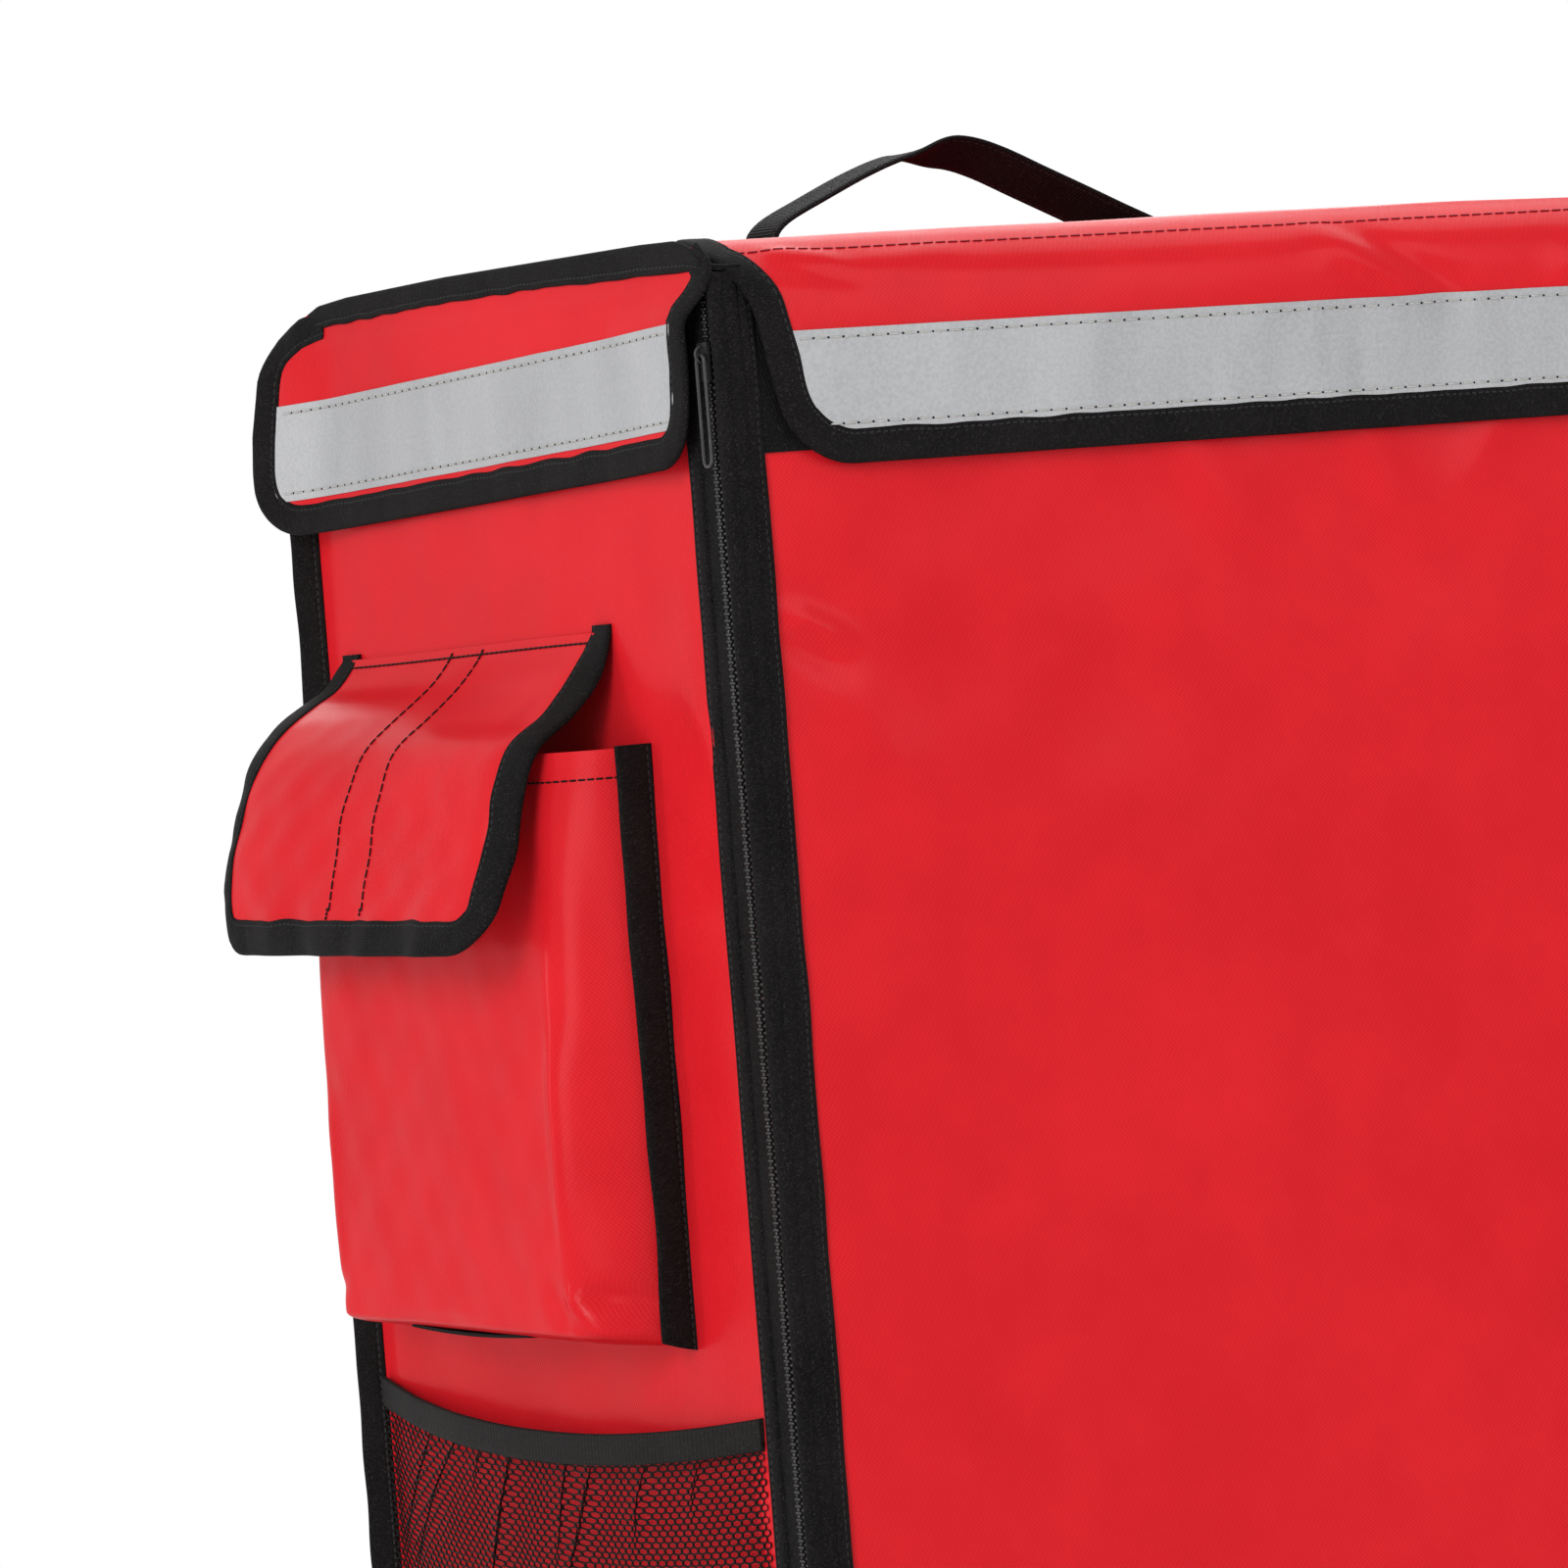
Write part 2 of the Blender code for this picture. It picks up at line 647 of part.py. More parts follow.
def front_zip_outline(side):
    """Return the plan outline of a zip's half that wraps round the front corner."""
    out, face = HALF_WIDTH + GAP, FRONT - GAP
    points = (
        (out, COIL_LINE - COIL_SPLIT / 2), (out + COIL_HEIGHT, COIL_LINE - COIL_SPLIT / 2),
        (out + COIL_HEIGHT, COIL_LINE - COIL_WIDTH), (out + ZIP_TAPE, COIL_LINE - COIL_WIDTH),
        (out + ZIP_TAPE, face), (out, face - ZIP_BINDING_THICKNESS),
        (HALF_WIDTH - FRONT_WRAP_WIDTH, face - ZIP_BINDING_THICKNESS),
        (HALF_WIDTH - FRONT_WRAP_WIDTH, face), (out, face))
    return [(side * x, y) for x, y in points]


def front_panel(parent):
    """Make the front panel, its board and lining, its zip halves and its loop strip."""
    box("front_panel", (-HALF_WIDTH, FRONT, FRONT_BOTTOM), (HALF_WIDTH, FRONT + SKIN, RIM),
        RED, parent)
    side = HALF_WIDTH - SKIN - GAP
    start = FRONT + SKIN + GAP
    box("front_board", (-side, start, FRONT_BOTTOM), (side, start + BOARD, RIM), FOAM, parent)
    start += BOARD + GAP
    box("front_lining", (-side, start, FRONT_BOTTOM), (side, start + LINING, RIM), FOIL, parent)
    for name, side in (("left", -1), ("right", 1)):
        outline = front_zip_outline(side)
        finish("front_" + name + "_zip_tape", prism_mesh(outline, FRONT_BOTTOM, RIM), BLACK, parent)
    reach = HALF_WIDTH - FRONT_WRAP_WIDTH - GAP
    top = BAG_HEIGHT - LOOP_STRIP_DROP
    box("front_loop_strip", (-reach, FRONT - GAP - LOOP_STRIP_THICKNESS, top - LOOP_STRIP_WIDTH),
        (reach, FRONT - GAP, top), BLACK, parent)


def tube_mesh(points, radius, cyclic):
    """Return a round wire along the points, closed into a loop or capped."""
    curve = bpy.data.curves.new("wire", "CURVE")
    curve.dimensions = "3D"
    curve.bevel_depth = radius
    curve.bevel_resolution = TUBE_RESOLUTION
    curve.use_fill_caps = not cyclic
    spline = curve.splines.new("POLY")
    spline.points.add(len(points) - 1)
    for target, point in zip(spline.points, points):
        target.co = (*point, 1)
    spline.use_cyclic_u = cyclic
    return curve_to_mesh(curve, Matrix.Identity(4), GAP / 10)


def puller_bar(side):
    """Return the middle of the puller's top bar, which is its hinge."""
    plate = HALF_WIDTH + 3 * GAP + COIL_HEIGHT + SLIDER_WALL
    return Vector((side * (plate + GAP + PULLER_WIRE), COIL_LINE,
                   BAG_HEIGHT - SLIDER_DROP))


def zip_slider(name, side, parent):
    """Make a slider that rides on the coils, with its bail.

    It is open toward the front, so that the front panel's half can leave it.
    """
    bar = puller_bar(side)
    roof = 3 * GAP + COIL_HEIGHT
    wall = GAP + ZIP_TAPE + GAP
    front_reach = COIL_WIDTH + GAP
    outline = [(side * (HALF_WIDTH + out), COIL_LINE + back) for out, back in (
        (roof, -front_reach), (roof, front_reach), (wall, front_reach), (wall, SLIDER_BACK),
        (roof + SLIDER_WALL, SLIDER_BACK), (roof + SLIDER_WALL, -front_reach))]
    top = bar.z + BAIL_RADIUS + SLIDER_WALL
    body = finish(name, prism_mesh(outline, top - SLIDER_LENGTH, top), METAL, parent)
    plate = HALF_WIDTH + roof + SLIDER_WALL
    sink = SLIDER_WALL / 2
    arch = [(side * (plate - sink), bar.y, bar.z + BAIL_RADIUS)]
    for step in range(9):
        angle = math.pi * step / 8
        arch.append((side * (plate + BAIL_RADIUS * math.sin(angle)), bar.y,
                     bar.z + BAIL_RADIUS * math.cos(angle)))
    arch.append((side * (plate - sink), bar.y, bar.z - BAIL_RADIUS))
    bail = cutter(name + "_bail", tube_mesh(arch, BAIL_WIRE, cyclic=False))
    boolean(body, bail, "UNION")
    bail.parent = parent
    bail.data.transform(Matrix.Translation(-world_place(parent)))


def zip_puller(name, side, parent):
    """Make the long wire loop that hangs from the slider's bail."""
    bar = puller_bar(side)
    half = PULLER_WIDTH / 2 - PULLER_WIRE
    bend = half * PULLER_BEND_SHARE
    length = PULLER_LENGTH - 2 * PULLER_WIRE
    points = []
    for centre_z, start in ((-bend, 0.0), (bend - length, math.pi)):
        for step in range(7):
            angle = start + math.pi * step / 6
            points.append((bar.x, bar.y + half * math.cos(angle),
                           bar.z + centre_z + bend * math.sin(angle)))
    finish(name, tube_mesh(points, PULLER_WIRE, cyclic=True), METAL, parent, smooth=True)


def lid(parent):
    """Make the lid's top sheet, board, lining and the bindings of its side edges."""
    box("lid_panel", (-LID_HALF_WIDTH, FRONT_FLAP_FACE, BAG_HEIGHT - SKIN),
        (LID_HALF_WIDTH, BACK, BAG_HEIGHT), RED, parent)
    side = HALF_WIDTH - SKIN
    top = BAG_HEIGHT - SKIN - GAP
    box("lid_board", (-side, FRONT + SKIN, top - BOARD), (side, BACK - SKIN, top), FOAM, parent)
    top -= BOARD + GAP
    box("lid_lining", (-side, FRONT + SKIN, top - LINING), (side, BACK - SKIN, top), FOIL, parent)
    for name, sign in (("left", -1), ("right", 1)):
        outer = sign * SIDE_FLAP_FACE
        inner = sign * (SIDE_FLAP_FACE - BINDING_THICKNESS)
        box("lid_" + name + "_binding",
            (min(outer, inner), FRONT_FLAP_FACE, BAG_HEIGHT - BINDING_WIDTH),
            (max(outer, inner), BACK, BAG_HEIGHT), BLACK, parent, edge=BINDING_THICKNESS / 4)


HANDLE_FOOT_Z = BAG_HEIGHT + GAP + HANDLE_TAIL_THICKNESS + GAP
HANDLE_AXIS = Vector((0, 0, HANDLE_FOOT_Z + HANDLE_FOOT_WIDTH / 2))


def carry_handle(parent, lid_parent):
    """Make the webbing handle and the two tails by which it is sewn to the lid.

    Each foot ends in a half circle about the axis that the handle flops on.
    """
    for name, side in (("left", -1), ("right", 1)):
        foot = side * HANDLE_SPAN / 2
        ends = (foot - side * HANDLE_TAIL_LENGTH / 4, foot + side * HANDLE_TAIL_LENGTH * 3 / 4)
        box("handle_tail_" + name, (min(ends), -HANDLE_WIDTH / 2, BAG_HEIGHT + GAP),
            (max(ends), HANDLE_WIDTH / 2, BAG_HEIGHT + GAP + HANDLE_TAIL_THICKNESS), WEB, lid_parent)
    half_span = HANDLE_SPAN / 2
    apex = BAG_HEIGHT + HANDLE_RISE - HANDLE_THICKNESS / 2
    rise = apex - HANDLE_FOOT_Z
    half = [(-half_span * a, 0, HANDLE_FOOT_Z + rise * b) for a, b in HANDLE_PROFILE_SHARES]
    middle = [(0, 0, apex)]
    mirrored = [(-x, y, z) for x, y, z in reversed(half)]
    route = Route(smooth_path(half + middle + mirrored, 4))
    end = HANDLE_FOOT_WIDTH / 2
    marks = [end * (1 - math.cos(math.pi / 2 * step / 5)) for step in range(6)]
    count = 20
    marks += [end + (route.length - 2 * end) * step / count for step in range(1, count)]
    marks += [route.length - mark for mark in reversed(marks[:6])]
    last = len(marks) - 1

    def half_width(distance):
        near = min(distance, route.length - distance)
        if near < end:
            return max(math.sqrt(max(end ** 2 - (end - near) ** 2, 0)), GAP)
        share = min((near - end) / (route.length / 4), 1.0)
        ease = share * share * (3 - 2 * share)
        return end + (HANDLE_WIDTH / 2 - end) * ease

    def place(u, v):
        distance = marks[round(u * last)]
        point = route.at(distance)
        return Vector((point.x, (2 * v - 1) * half_width(distance), point.z))

    sheet("carry_handle", last, 2, place, HANDLE_THICKNESS, WEB, parent)


def rounded_share(share, power):
    """Return 0 at both ends and 1 in the middle; a high power gives steep ends."""
    return 1 - abs(2 * share - 1) ** power


def side_pocket():
    """Make the bellows pocket and the two bound seams that hold it."""
    start = FRONT + POCKET_FRONT_SETBACK
    root = HALF_WIDTH + GAP + SKIN / 2
    fin = FIN_THICKNESS + GAP
    low, high = start + fin, start + POCKET_WIDTH - fin
    width = high - low
    height = POCKET_TOP - POCKET_BOTTOM
    edge = SKIN / 2 + GAP

    def bulge_at(u, v):
        across = min(u, 1 - u) * width / POCKET_GUSSET
        up = v * height / POCKET_BOTTOM_FOLD
        side_rise = math.sin(math.pi / 2 * min(across, 1.0)) ** GUSSET_POWER
        bottom_rise = math.sin(math.pi / 2 * min(up, 1.0)) ** FOLD_POWER
        tuck = POCKET_MOUTH_TUCK * v ** 4
        crown = POCKET_MOUTH_TUCK / 2 * rounded_share(u, 2) * rounded_share(v, 2)
        return (POCKET_BULGE - tuck + crown) * side_rise * bottom_rise

    def place(u, v):
        # Columns crowd toward the gussets, rows toward the bottom fold
        u = (1 - math.cos(math.pi * u)) / 2
        v = v ** ROW_POWER
        y = low + edge + (width - 2 * edge) * u
        return Vector((-(root + bulge_at(u, v)), y, POCKET_BOTTOM + height * v))

    sheet("side_pocket", 18, 12, place, SKIN, RED)
    face = HALF_WIDTH + GAP
    for name, y in (("front", start), ("back", high)):
        box("pocket_" + name + "_binding", (-face - POCKET_FIN_WIDTH, y, POCKET_BOTTOM - FIN_THICKNESS),
            (-face, y + FIN_THICKNESS, POCKET_TOP + GAP), BLACK, edge=FIN_THICKNESS / 4)


POCKET_FLAP_HINGE = Vector((-(HALF_WIDTH + GAP + FLAP), 0, POCKET_FLAP_SEAM))


def pocket_flap(parent):
    """Make the pocket's flap, which springs outward in an S curve from its seam."""
    start = -(HALF_WIDTH + GAP + FLAP_BINDING_THICKNESS / 2)
    profile = [(start - POCKET_FLAP_REACH * reach, 0, POCKET_FLAP_SEAM - POCKET_FLAP_DROP * drop)
               for drop, reach in POCKET_FLAP_PROFILE_SHARES]
    route = Route(smooth_path(profile, 3))
    scale = route.length / POCKET_FLAP_LENGTH
    front = FRONT + POCKET_FLAP_SETBACK
    shape = FlapShape((front, front + POCKET_FLAP_WIDTH), (front, front + POCKET_FLAP_WIDTH),
                      POCKET_FLAP_LENGTH, POCKET_FLAP_RADIUS)

    def surface(a, b):
        point = route.at(b * scale)
        return Vector((point.x, a, point.z))

    bound_flap("pocket_flap", shape, surface, 6, 14, parent)


def net_pocket(name, side):
    """Make a net pocket, bulging and sagging, and its elastic top edge."""
    front = COIL_LINE + ZIP_BAND + NET_MARGIN
    back = BACK - FIN_THICKNESS
    width = back - front
    bottom = SEAM_BOTTOM + GAP

    def surface(u, z, thickness):
        top = NET_TOP - NET_SAG * rounded_share(u, 2)
        share = (z - bottom) / (top - bottom)
        rise = math.sin(math.pi / 2 * min(max(share, 0) * NET_RISE, 1.0))
        out = NET_BULGE * rounded_share(u, NET_POWER) * rise
        return Vector((side * (HALF_WIDTH + GAP + thickness / 2 + out), front + width * u, z))

    def net_place(u, v):
        top = NET_TOP - NET_SAG * rounded_share(u, 2) - NET_BAND_WIDTH - GAP
        return surface(u, bottom + (top - bottom) * v, NET_BAND_THICKNESS)

    def band_place(u, v):
        top = NET_TOP - NET_SAG * rounded_share(u, 2)
        return surface(u, top - NET_BAND_WIDTH * (1 - v), NET_BAND_THICKNESS)

    sheet(name + "_net_pocket", 14, 8, net_place, NET, NET_BLACK)
    sheet(name + "_net_band", 14, 1, band_place, NET_BAND_THICKNESS, BLACK)


def cushion(name, low, high, material):
    """Make a padded piece with a crown on its +Y side and drawn-in edges."""
    mesh = bpy.data.meshes.new(name)
    bm = bmesh.new()
    bmesh.ops.create_cube(bm, size=2.0)
    bmesh.ops.subdivide_edges(bm, edges=bm.edges, cuts=7, use_grid_fill=True)
    low, high = Vector(low), Vector(high)
    size, middle = (high - low) / 2, (high + low) / 2
    for vertex in bm.verts:
        x, y, z = vertex.co
        draw = 1 - CUSHION_DRAW_SHARE * (y + 1)
        x_in = math.copysign(math.sin(math.pi / 2 * abs(x)), x)
        z_in = math.copysign(math.sin(math.pi / 2 * abs(z)), z)
        crown = (1 - x_in ** CUSHION_POWER) * (1 - z_in ** CUSHION_POWER)
        thick = -1 + (y + 1) * (CUSHION_EDGE_SHARE + (1 - CUSHION_EDGE_SHARE) * crown)
        vertex.co = (middle.x + size.x * x_in * draw, middle.y + size.y * thick,
                     middle.z + size.z * z_in * draw)
    bm.to_mesh(mesh)
    bm.free()
    finish(name, mesh, material, smooth=True)


def back_side():
    """Make the back pads and the yoke that the shoulder straps are sewn to."""
    face = BACK + GAP
    for name, side in (("left", -1), ("right", 1)):
        x = side * PAD_SPACING / 2
        cushion("back_pad_" + name, (x - PAD_WIDTH / 2, face, PAD_BOTTOM),
                (x + PAD_WIDTH / 2, face + PAD_THICKNESS, PAD_BOTTOM + PAD_HEIGHT), PAD)
    top = BAG_HEIGHT - YOKE_TOP_DROP
    box("strap_yoke", (-YOKE_WIDTH / 2, face, top - YOKE_HEIGHT),
        (YOKE_WIDTH / 2, face + YOKE_THICKNESS, top), WEB, edge=YOKE_THICKNESS / 4)


def strap_set(name, side):
    """Make one shoulder strap, its ladder lock and the webbing from the lower corner."""
    x = side * STRAP_SPACING / 2
    face = BACK + GAP + YOKE_THICKNESS + GAP
    top = BAG_HEIGHT - STRAP_TOP_DROP
    seat = face + STRAP_THICKNESS / 2
    profile = [(x, seat + STRAP_BOW * bow, top - STRAP_LENGTH_DROP * drop)
               for drop, bow in STRAP_PROFILE_SHARES]
    # The sewn end lies flat on the yoke, so the curve goes no nearer than that
    path = [Vector((x, max(point.y, seat), point.z)) for point in smooth_path(profile, 3)]
    route = Route(path)
    count = len(route.points) - 1

    def strap_place(u, v):
        point = route.points[round(u * count)]
        return Vector((x + (v - 0.5) * STRAP_WIDTH, point.y, point.z))

    strap = sheet("shoulder_strap_" + name, count, 2, strap_place, STRAP_THICKNESS, PAD)
    bevel = strap.modifiers.new("edges", "BEVEL")
    bevel.width = STRAP_THICKNESS / 4
    bevel.segments = 2
    bevel.angle_limit = math.radians(50)

    # The ladder lock hangs upright below the strap's end
    end = route.points[-1]
    lock_top = end.z - STRAP_THICKNESS / 2 - GAP
    ladder_lock(name, Vector((x, end.y, lock_top - LOCK_HEIGHT / 2)))
    lower_webbing(name, Vector((x, end.y, lock_top - LOCK_HEIGHT / 2)))


def rounded_rectangle(half_a, half_b, radius, centre_b=0.0):
    """Return the outline of a rectangle with round corners."""
    points = []
    for corner in range(4):
        sign_a = 1 if corner in (0, 3) else -1
        sign_b = 1 if corner in (0, 1) else -1
        for step in range(4):
            angle = math.pi / 2 * (corner + step / 3)
            points.append((sign_a * (half_a - radius) + radius * math.cos(angle),
                           centre_b + sign_b * (half_b - radius) + radius * math.sin(angle)))
    return points


def ladder_lock(name, centre):
    """Make a two-slot adjuster buckle."""
    outline = rounded_rectangle(LOCK_WIDTH / 2, LOCK_HEIGHT / 2, LOCK_BAR)
    pitch = (LOCK_BAR + LOCK_SLOT) / 2
    half_slot = LOCK_WIDTH / 2 - LOCK_BAR + GAP
    slots = [rounded_rectangle(half_slot, LOCK_SLOT / 2, 2 * GAP, sign * pitch)
             for sign in (-1, 1)]
    plane = plane_matrix(centre, (1, 0, 0), (0, 0, 1))
    finish("ladder_lock_" + name, flat_mesh([outline] + slots, LOCK_THICKNESS, plane), PLASTIC)


def lower_webbing(name, centre):
    """Make the webbing: up behind the lock, over its middle bar, and down in front as a tail."""
    turn = GAP + WEBBING / 2
    stand = LOCK_THICKNESS / 2 + turn
    wall = BACK + GAP + WEBBING / 2
    back_y = centre.y - stand
    low_z = WEBBING_END_HEIGHT
    lift = LOCK_HEIGHT
    path = [(wall, low_z), (wall, low_z + lift / 2),
            (wall + (back_y - wall) * WEBBING_LOW_SHARE, low_z + lift),
            (wall + (back_y - wall) * WEBBING_HIGH_SHARE, centre.z - LOCK_HEIGHT),
            (back_y, centre.z - LOCK_HEIGHT / 2), (back_y, centre.z)]
    for side in (-1, 1):
        for step in range(4):
            angle = math.pi / 2 * (step / 3 + (side + 1) / 2)
            path.append((centre.y + side * LOCK_THICKNESS / 2 - turn * math.cos(angle),
                         centre.z + LOCK_BAR / 2 + turn * math.sin(angle)))
    path += [(centre.y + stand, centre.z), (centre.y + stand, centre.z - LOCK_HEIGHT / 2),
             (centre.y + stand + WEBBING, centre.z - WEBBING_TAIL)]
    count = len(path) - 1

    def place(u, v):
        y, z = path[round(u * count)]
        return Vector((centre.x + (v - 0.5) * WEBBING_WIDTH, y, z))

    sheet("lower_webbing_" + name, count, 1, place, WEBBING, WEB)


def build():
    """Build the whole bag."""
    base()
    walls()
    back_fins()
    for name, side in (("left", -1), ("right", 1)):
        mesh = prism_mesh(side_zip_outline(side), SEAM_BOTTOM + GAP, RIM)
        finish(name + "_zip_tape", mesh, BLACK)
        net_pocket(name, side)
        strap_set(name, side)
        slide_axis = joint_empty(name + "_zip_axis", puller_bar(side))
        zip_slider(name + "_zip_slider", side, slide_axis)
        puller_axis = joint_empty(name + "_puller_axis", puller_bar(side), slide_axis)
        zip_puller(name + "_zip_puller", side, puller_axis)
    side_pocket()
    pocket_flap(joint_empty("pocket_flap_axis", POCKET_FLAP_HINGE))
    back_side()
    front_panel(joint_empty("front_panel_axis", FRONT_HINGE))

    lid_axis = joint_empty("lid_axis", LID_HINGE)
    lid(lid_axis)
    carry_handle(joint_empty("handle_axis", HANDLE_AXIS, lid_axis), lid_axis)
    front_flap(joint_empty("front_flap_axis", Vector((0, FRONT_FLAP_FACE, FRONT_FLAP_TOP)), lid_axis))
    for name, side in (("left", -1), ("right", 1)):
        place = Vector((side * SIDE_FLAP_PIVOT, 0, SIDE_FLAP_TOP))
        side_flap(name + "_flap", side, joint_empty(name + "_flap_axis", place, lid_axis))


build()
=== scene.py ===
import json
import math

import bmesh
import bpy
import numpy as np
from mathutils import Matrix, Vector

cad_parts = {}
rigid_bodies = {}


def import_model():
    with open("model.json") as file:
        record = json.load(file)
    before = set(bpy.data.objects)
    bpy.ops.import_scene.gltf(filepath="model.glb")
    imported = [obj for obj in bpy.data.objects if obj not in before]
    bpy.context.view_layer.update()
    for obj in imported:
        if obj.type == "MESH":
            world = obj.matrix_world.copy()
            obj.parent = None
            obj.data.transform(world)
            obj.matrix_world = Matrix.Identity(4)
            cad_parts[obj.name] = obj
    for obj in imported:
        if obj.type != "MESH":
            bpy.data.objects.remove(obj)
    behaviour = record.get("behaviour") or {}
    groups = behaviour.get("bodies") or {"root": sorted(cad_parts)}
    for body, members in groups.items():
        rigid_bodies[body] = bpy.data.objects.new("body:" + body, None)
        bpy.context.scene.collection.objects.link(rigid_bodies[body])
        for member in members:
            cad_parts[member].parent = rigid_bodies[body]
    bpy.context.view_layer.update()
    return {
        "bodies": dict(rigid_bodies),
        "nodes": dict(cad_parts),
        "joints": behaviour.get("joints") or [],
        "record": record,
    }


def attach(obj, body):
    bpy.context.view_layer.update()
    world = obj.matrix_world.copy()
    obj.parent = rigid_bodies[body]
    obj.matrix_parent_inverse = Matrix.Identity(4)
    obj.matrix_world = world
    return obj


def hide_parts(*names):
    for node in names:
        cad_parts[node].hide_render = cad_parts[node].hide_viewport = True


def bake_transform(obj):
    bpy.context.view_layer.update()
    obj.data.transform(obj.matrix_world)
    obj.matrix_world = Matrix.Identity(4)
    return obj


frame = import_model()
NODES = frame["nodes"]
SCENE = bpy.context.scene
SCENE.view_settings.view_transform = "Standard"

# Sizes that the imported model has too, in metres
HALF_WIDTH = 0.205
RIM = 0.5989
COIL_LINE = -0.172
STITCH = 0.0030


# Camera

def make_camera():
    data = bpy.data.cameras.new("photo_camera")
    data.lens = 176.3
    data.sensor_width = 36
    camera = bpy.data.objects.new("photo_camera", data)
    SCENE.collection.objects.link(camera)
    forward = Vector((0.4718, 0.8815, -0.0193)).normalized()
    up = Vector((0.079, -0.0205, 0.9967))
    right = forward.cross(up).normalized()
    up = right.cross(forward)
    matrix = Matrix((right, up, -forward)).transposed().to_4x4()
    matrix.translation = (-1.4964, -2.6122, 0.4672)
    camera.matrix_world = matrix
    SCENE.camera = camera


make_camera()


# Floor and light

WHITE = (1, 1, 1, 1)


def area_light(name, place, target, size, size_y, power):
    data = bpy.data.lights.new(name, "AREA")
    data.shape = "RECTANGLE"
    data.size, data.size_y = size, size_y
    data.energy = power
    light = bpy.data.objects.new(name, data)
    SCENE.collection.objects.link(light)
    light.location = place
    light.rotation_euler = (Vector(target) - Vector(place)).to_track_quat("-Z", "Y").to_euler()
    return light


def add_node(tree, kind, **values):
    """Add a shader node and set its sockets by name, with underscores for spaces."""
    node = tree.nodes.new("ShaderNode" + kind)
    for socket, value in values.items():
        node.inputs[socket.replace("_", " ")].default_value = value
    return node


def math_node(tree, operation, a, b):
    node = add_node(tree, "Math")
    node.operation = operation
    tree.links.new(a, node.inputs[0])
    tree.links.new(b, node.inputs[1])
    return node.outputs[0]


def mix_to_output(tree, output, factor, a, b):
    """Send a mix of two shaders to the tree's output."""
    mix = add_node(tree, "MixShader")
    for socket, source in zip(mix.inputs, (factor, a.outputs[0], b.outputs[0])):
        tree.links.new(source, socket)
    tree.links.new(mix.outputs[0], add_node(tree, output).inputs[0])


def background_switch(tree):
    """Return a factor that is 1 for rays that should see the white background."""
    path = add_node(tree, "LightPath")
    total = path.outputs["Is Camera Ray"]
    for output in ("Is Glossy Ray", "Is Transmission Ray"):
        total = math_node(tree, "MAXIMUM", total, path.outputs[output])
    return total


def make_stage():
    world = bpy.data.worlds.new("studio")
    SCENE.world = world
    world.use_nodes = True
    tree = world.node_tree
    tree.nodes.clear()
    soft = add_node(tree, "Background", Color=WHITE, Strength=0.50)
    white = add_node(tree, "Background", Color=WHITE, Strength=1.0)
    mix_to_output(tree, "OutputWorld", background_switch(tree), soft, white)

    mesh = bpy.data.meshes.new("floor")
    size = 14
    mesh.from_pydata([(-size, -size, 0), (size, -size, 0), (size, size, 0), (-size, size, 0)],
                     [], [(0, 1, 2, 3)])
    floor = bpy.data.objects.new("floor", mesh)
    floor.location.z = -0.0005
    SCENE.collection.objects.link(floor)
    material = bpy.data.materials.new("pale_floor")
    material.use_nodes = True
    tree = material.node_tree
    tree.nodes.clear()
    diffuse = add_node(tree, "BsdfDiffuse", Color=(0.86, 0.86, 0.86, 1))
    glow = add_node(tree, "Emission", Color=WHITE, Strength=1.0)
    # Near the bag the floor shows its shadow, and further off it fades into the white background
    place = add_node(tree, "TexCoord")
    distance = add_node(tree, "VectorMath")
    distance.operation = "LENGTH"
    tree.links.new(place.outputs["Object"], distance.inputs[0])
    fade = add_node(tree, "MapRange", From_Min=0.35, From_Max=1.05, To_Min=0.35, To_Max=1.0)
    tree.links.new(distance.outputs["Value"], fade.inputs["Value"])
    share = math_node(tree, "MULTIPLY", background_switch(tree), fade.outputs[0])
    mix_to_output(tree, "OutputMaterial", share, diffuse, glow)
    mesh.materials.append(material)

    middle = (0, 0, 0.35)
    area_light("key", (-2.9, -2.0, 1.8), middle, 1.3, 1.3, 54)
    area_light("side_strip", (-2.7, 1.3, 0.80), (-0.2, 0, 0.35), 0.30, 1.5, 11)
    area_light("low_fill", (-2.6, -1.9, 0.40), (-0.1, 0, 0.25), 0.9, 0.6, 8)
    area_light("front_fill", (1.3, -3.5, 1.6), middle, 1.8, 1.8, 26)
    area_light("top_back", (0.9, 0.7, 2.2), (0, -0.1, 0.6), 2.6, 1.8, 36)
    area_light("back_fill", (1.2, 3.2, 1.6), middle, 2.0, 2.0, 34)


make_stage()


# Materials

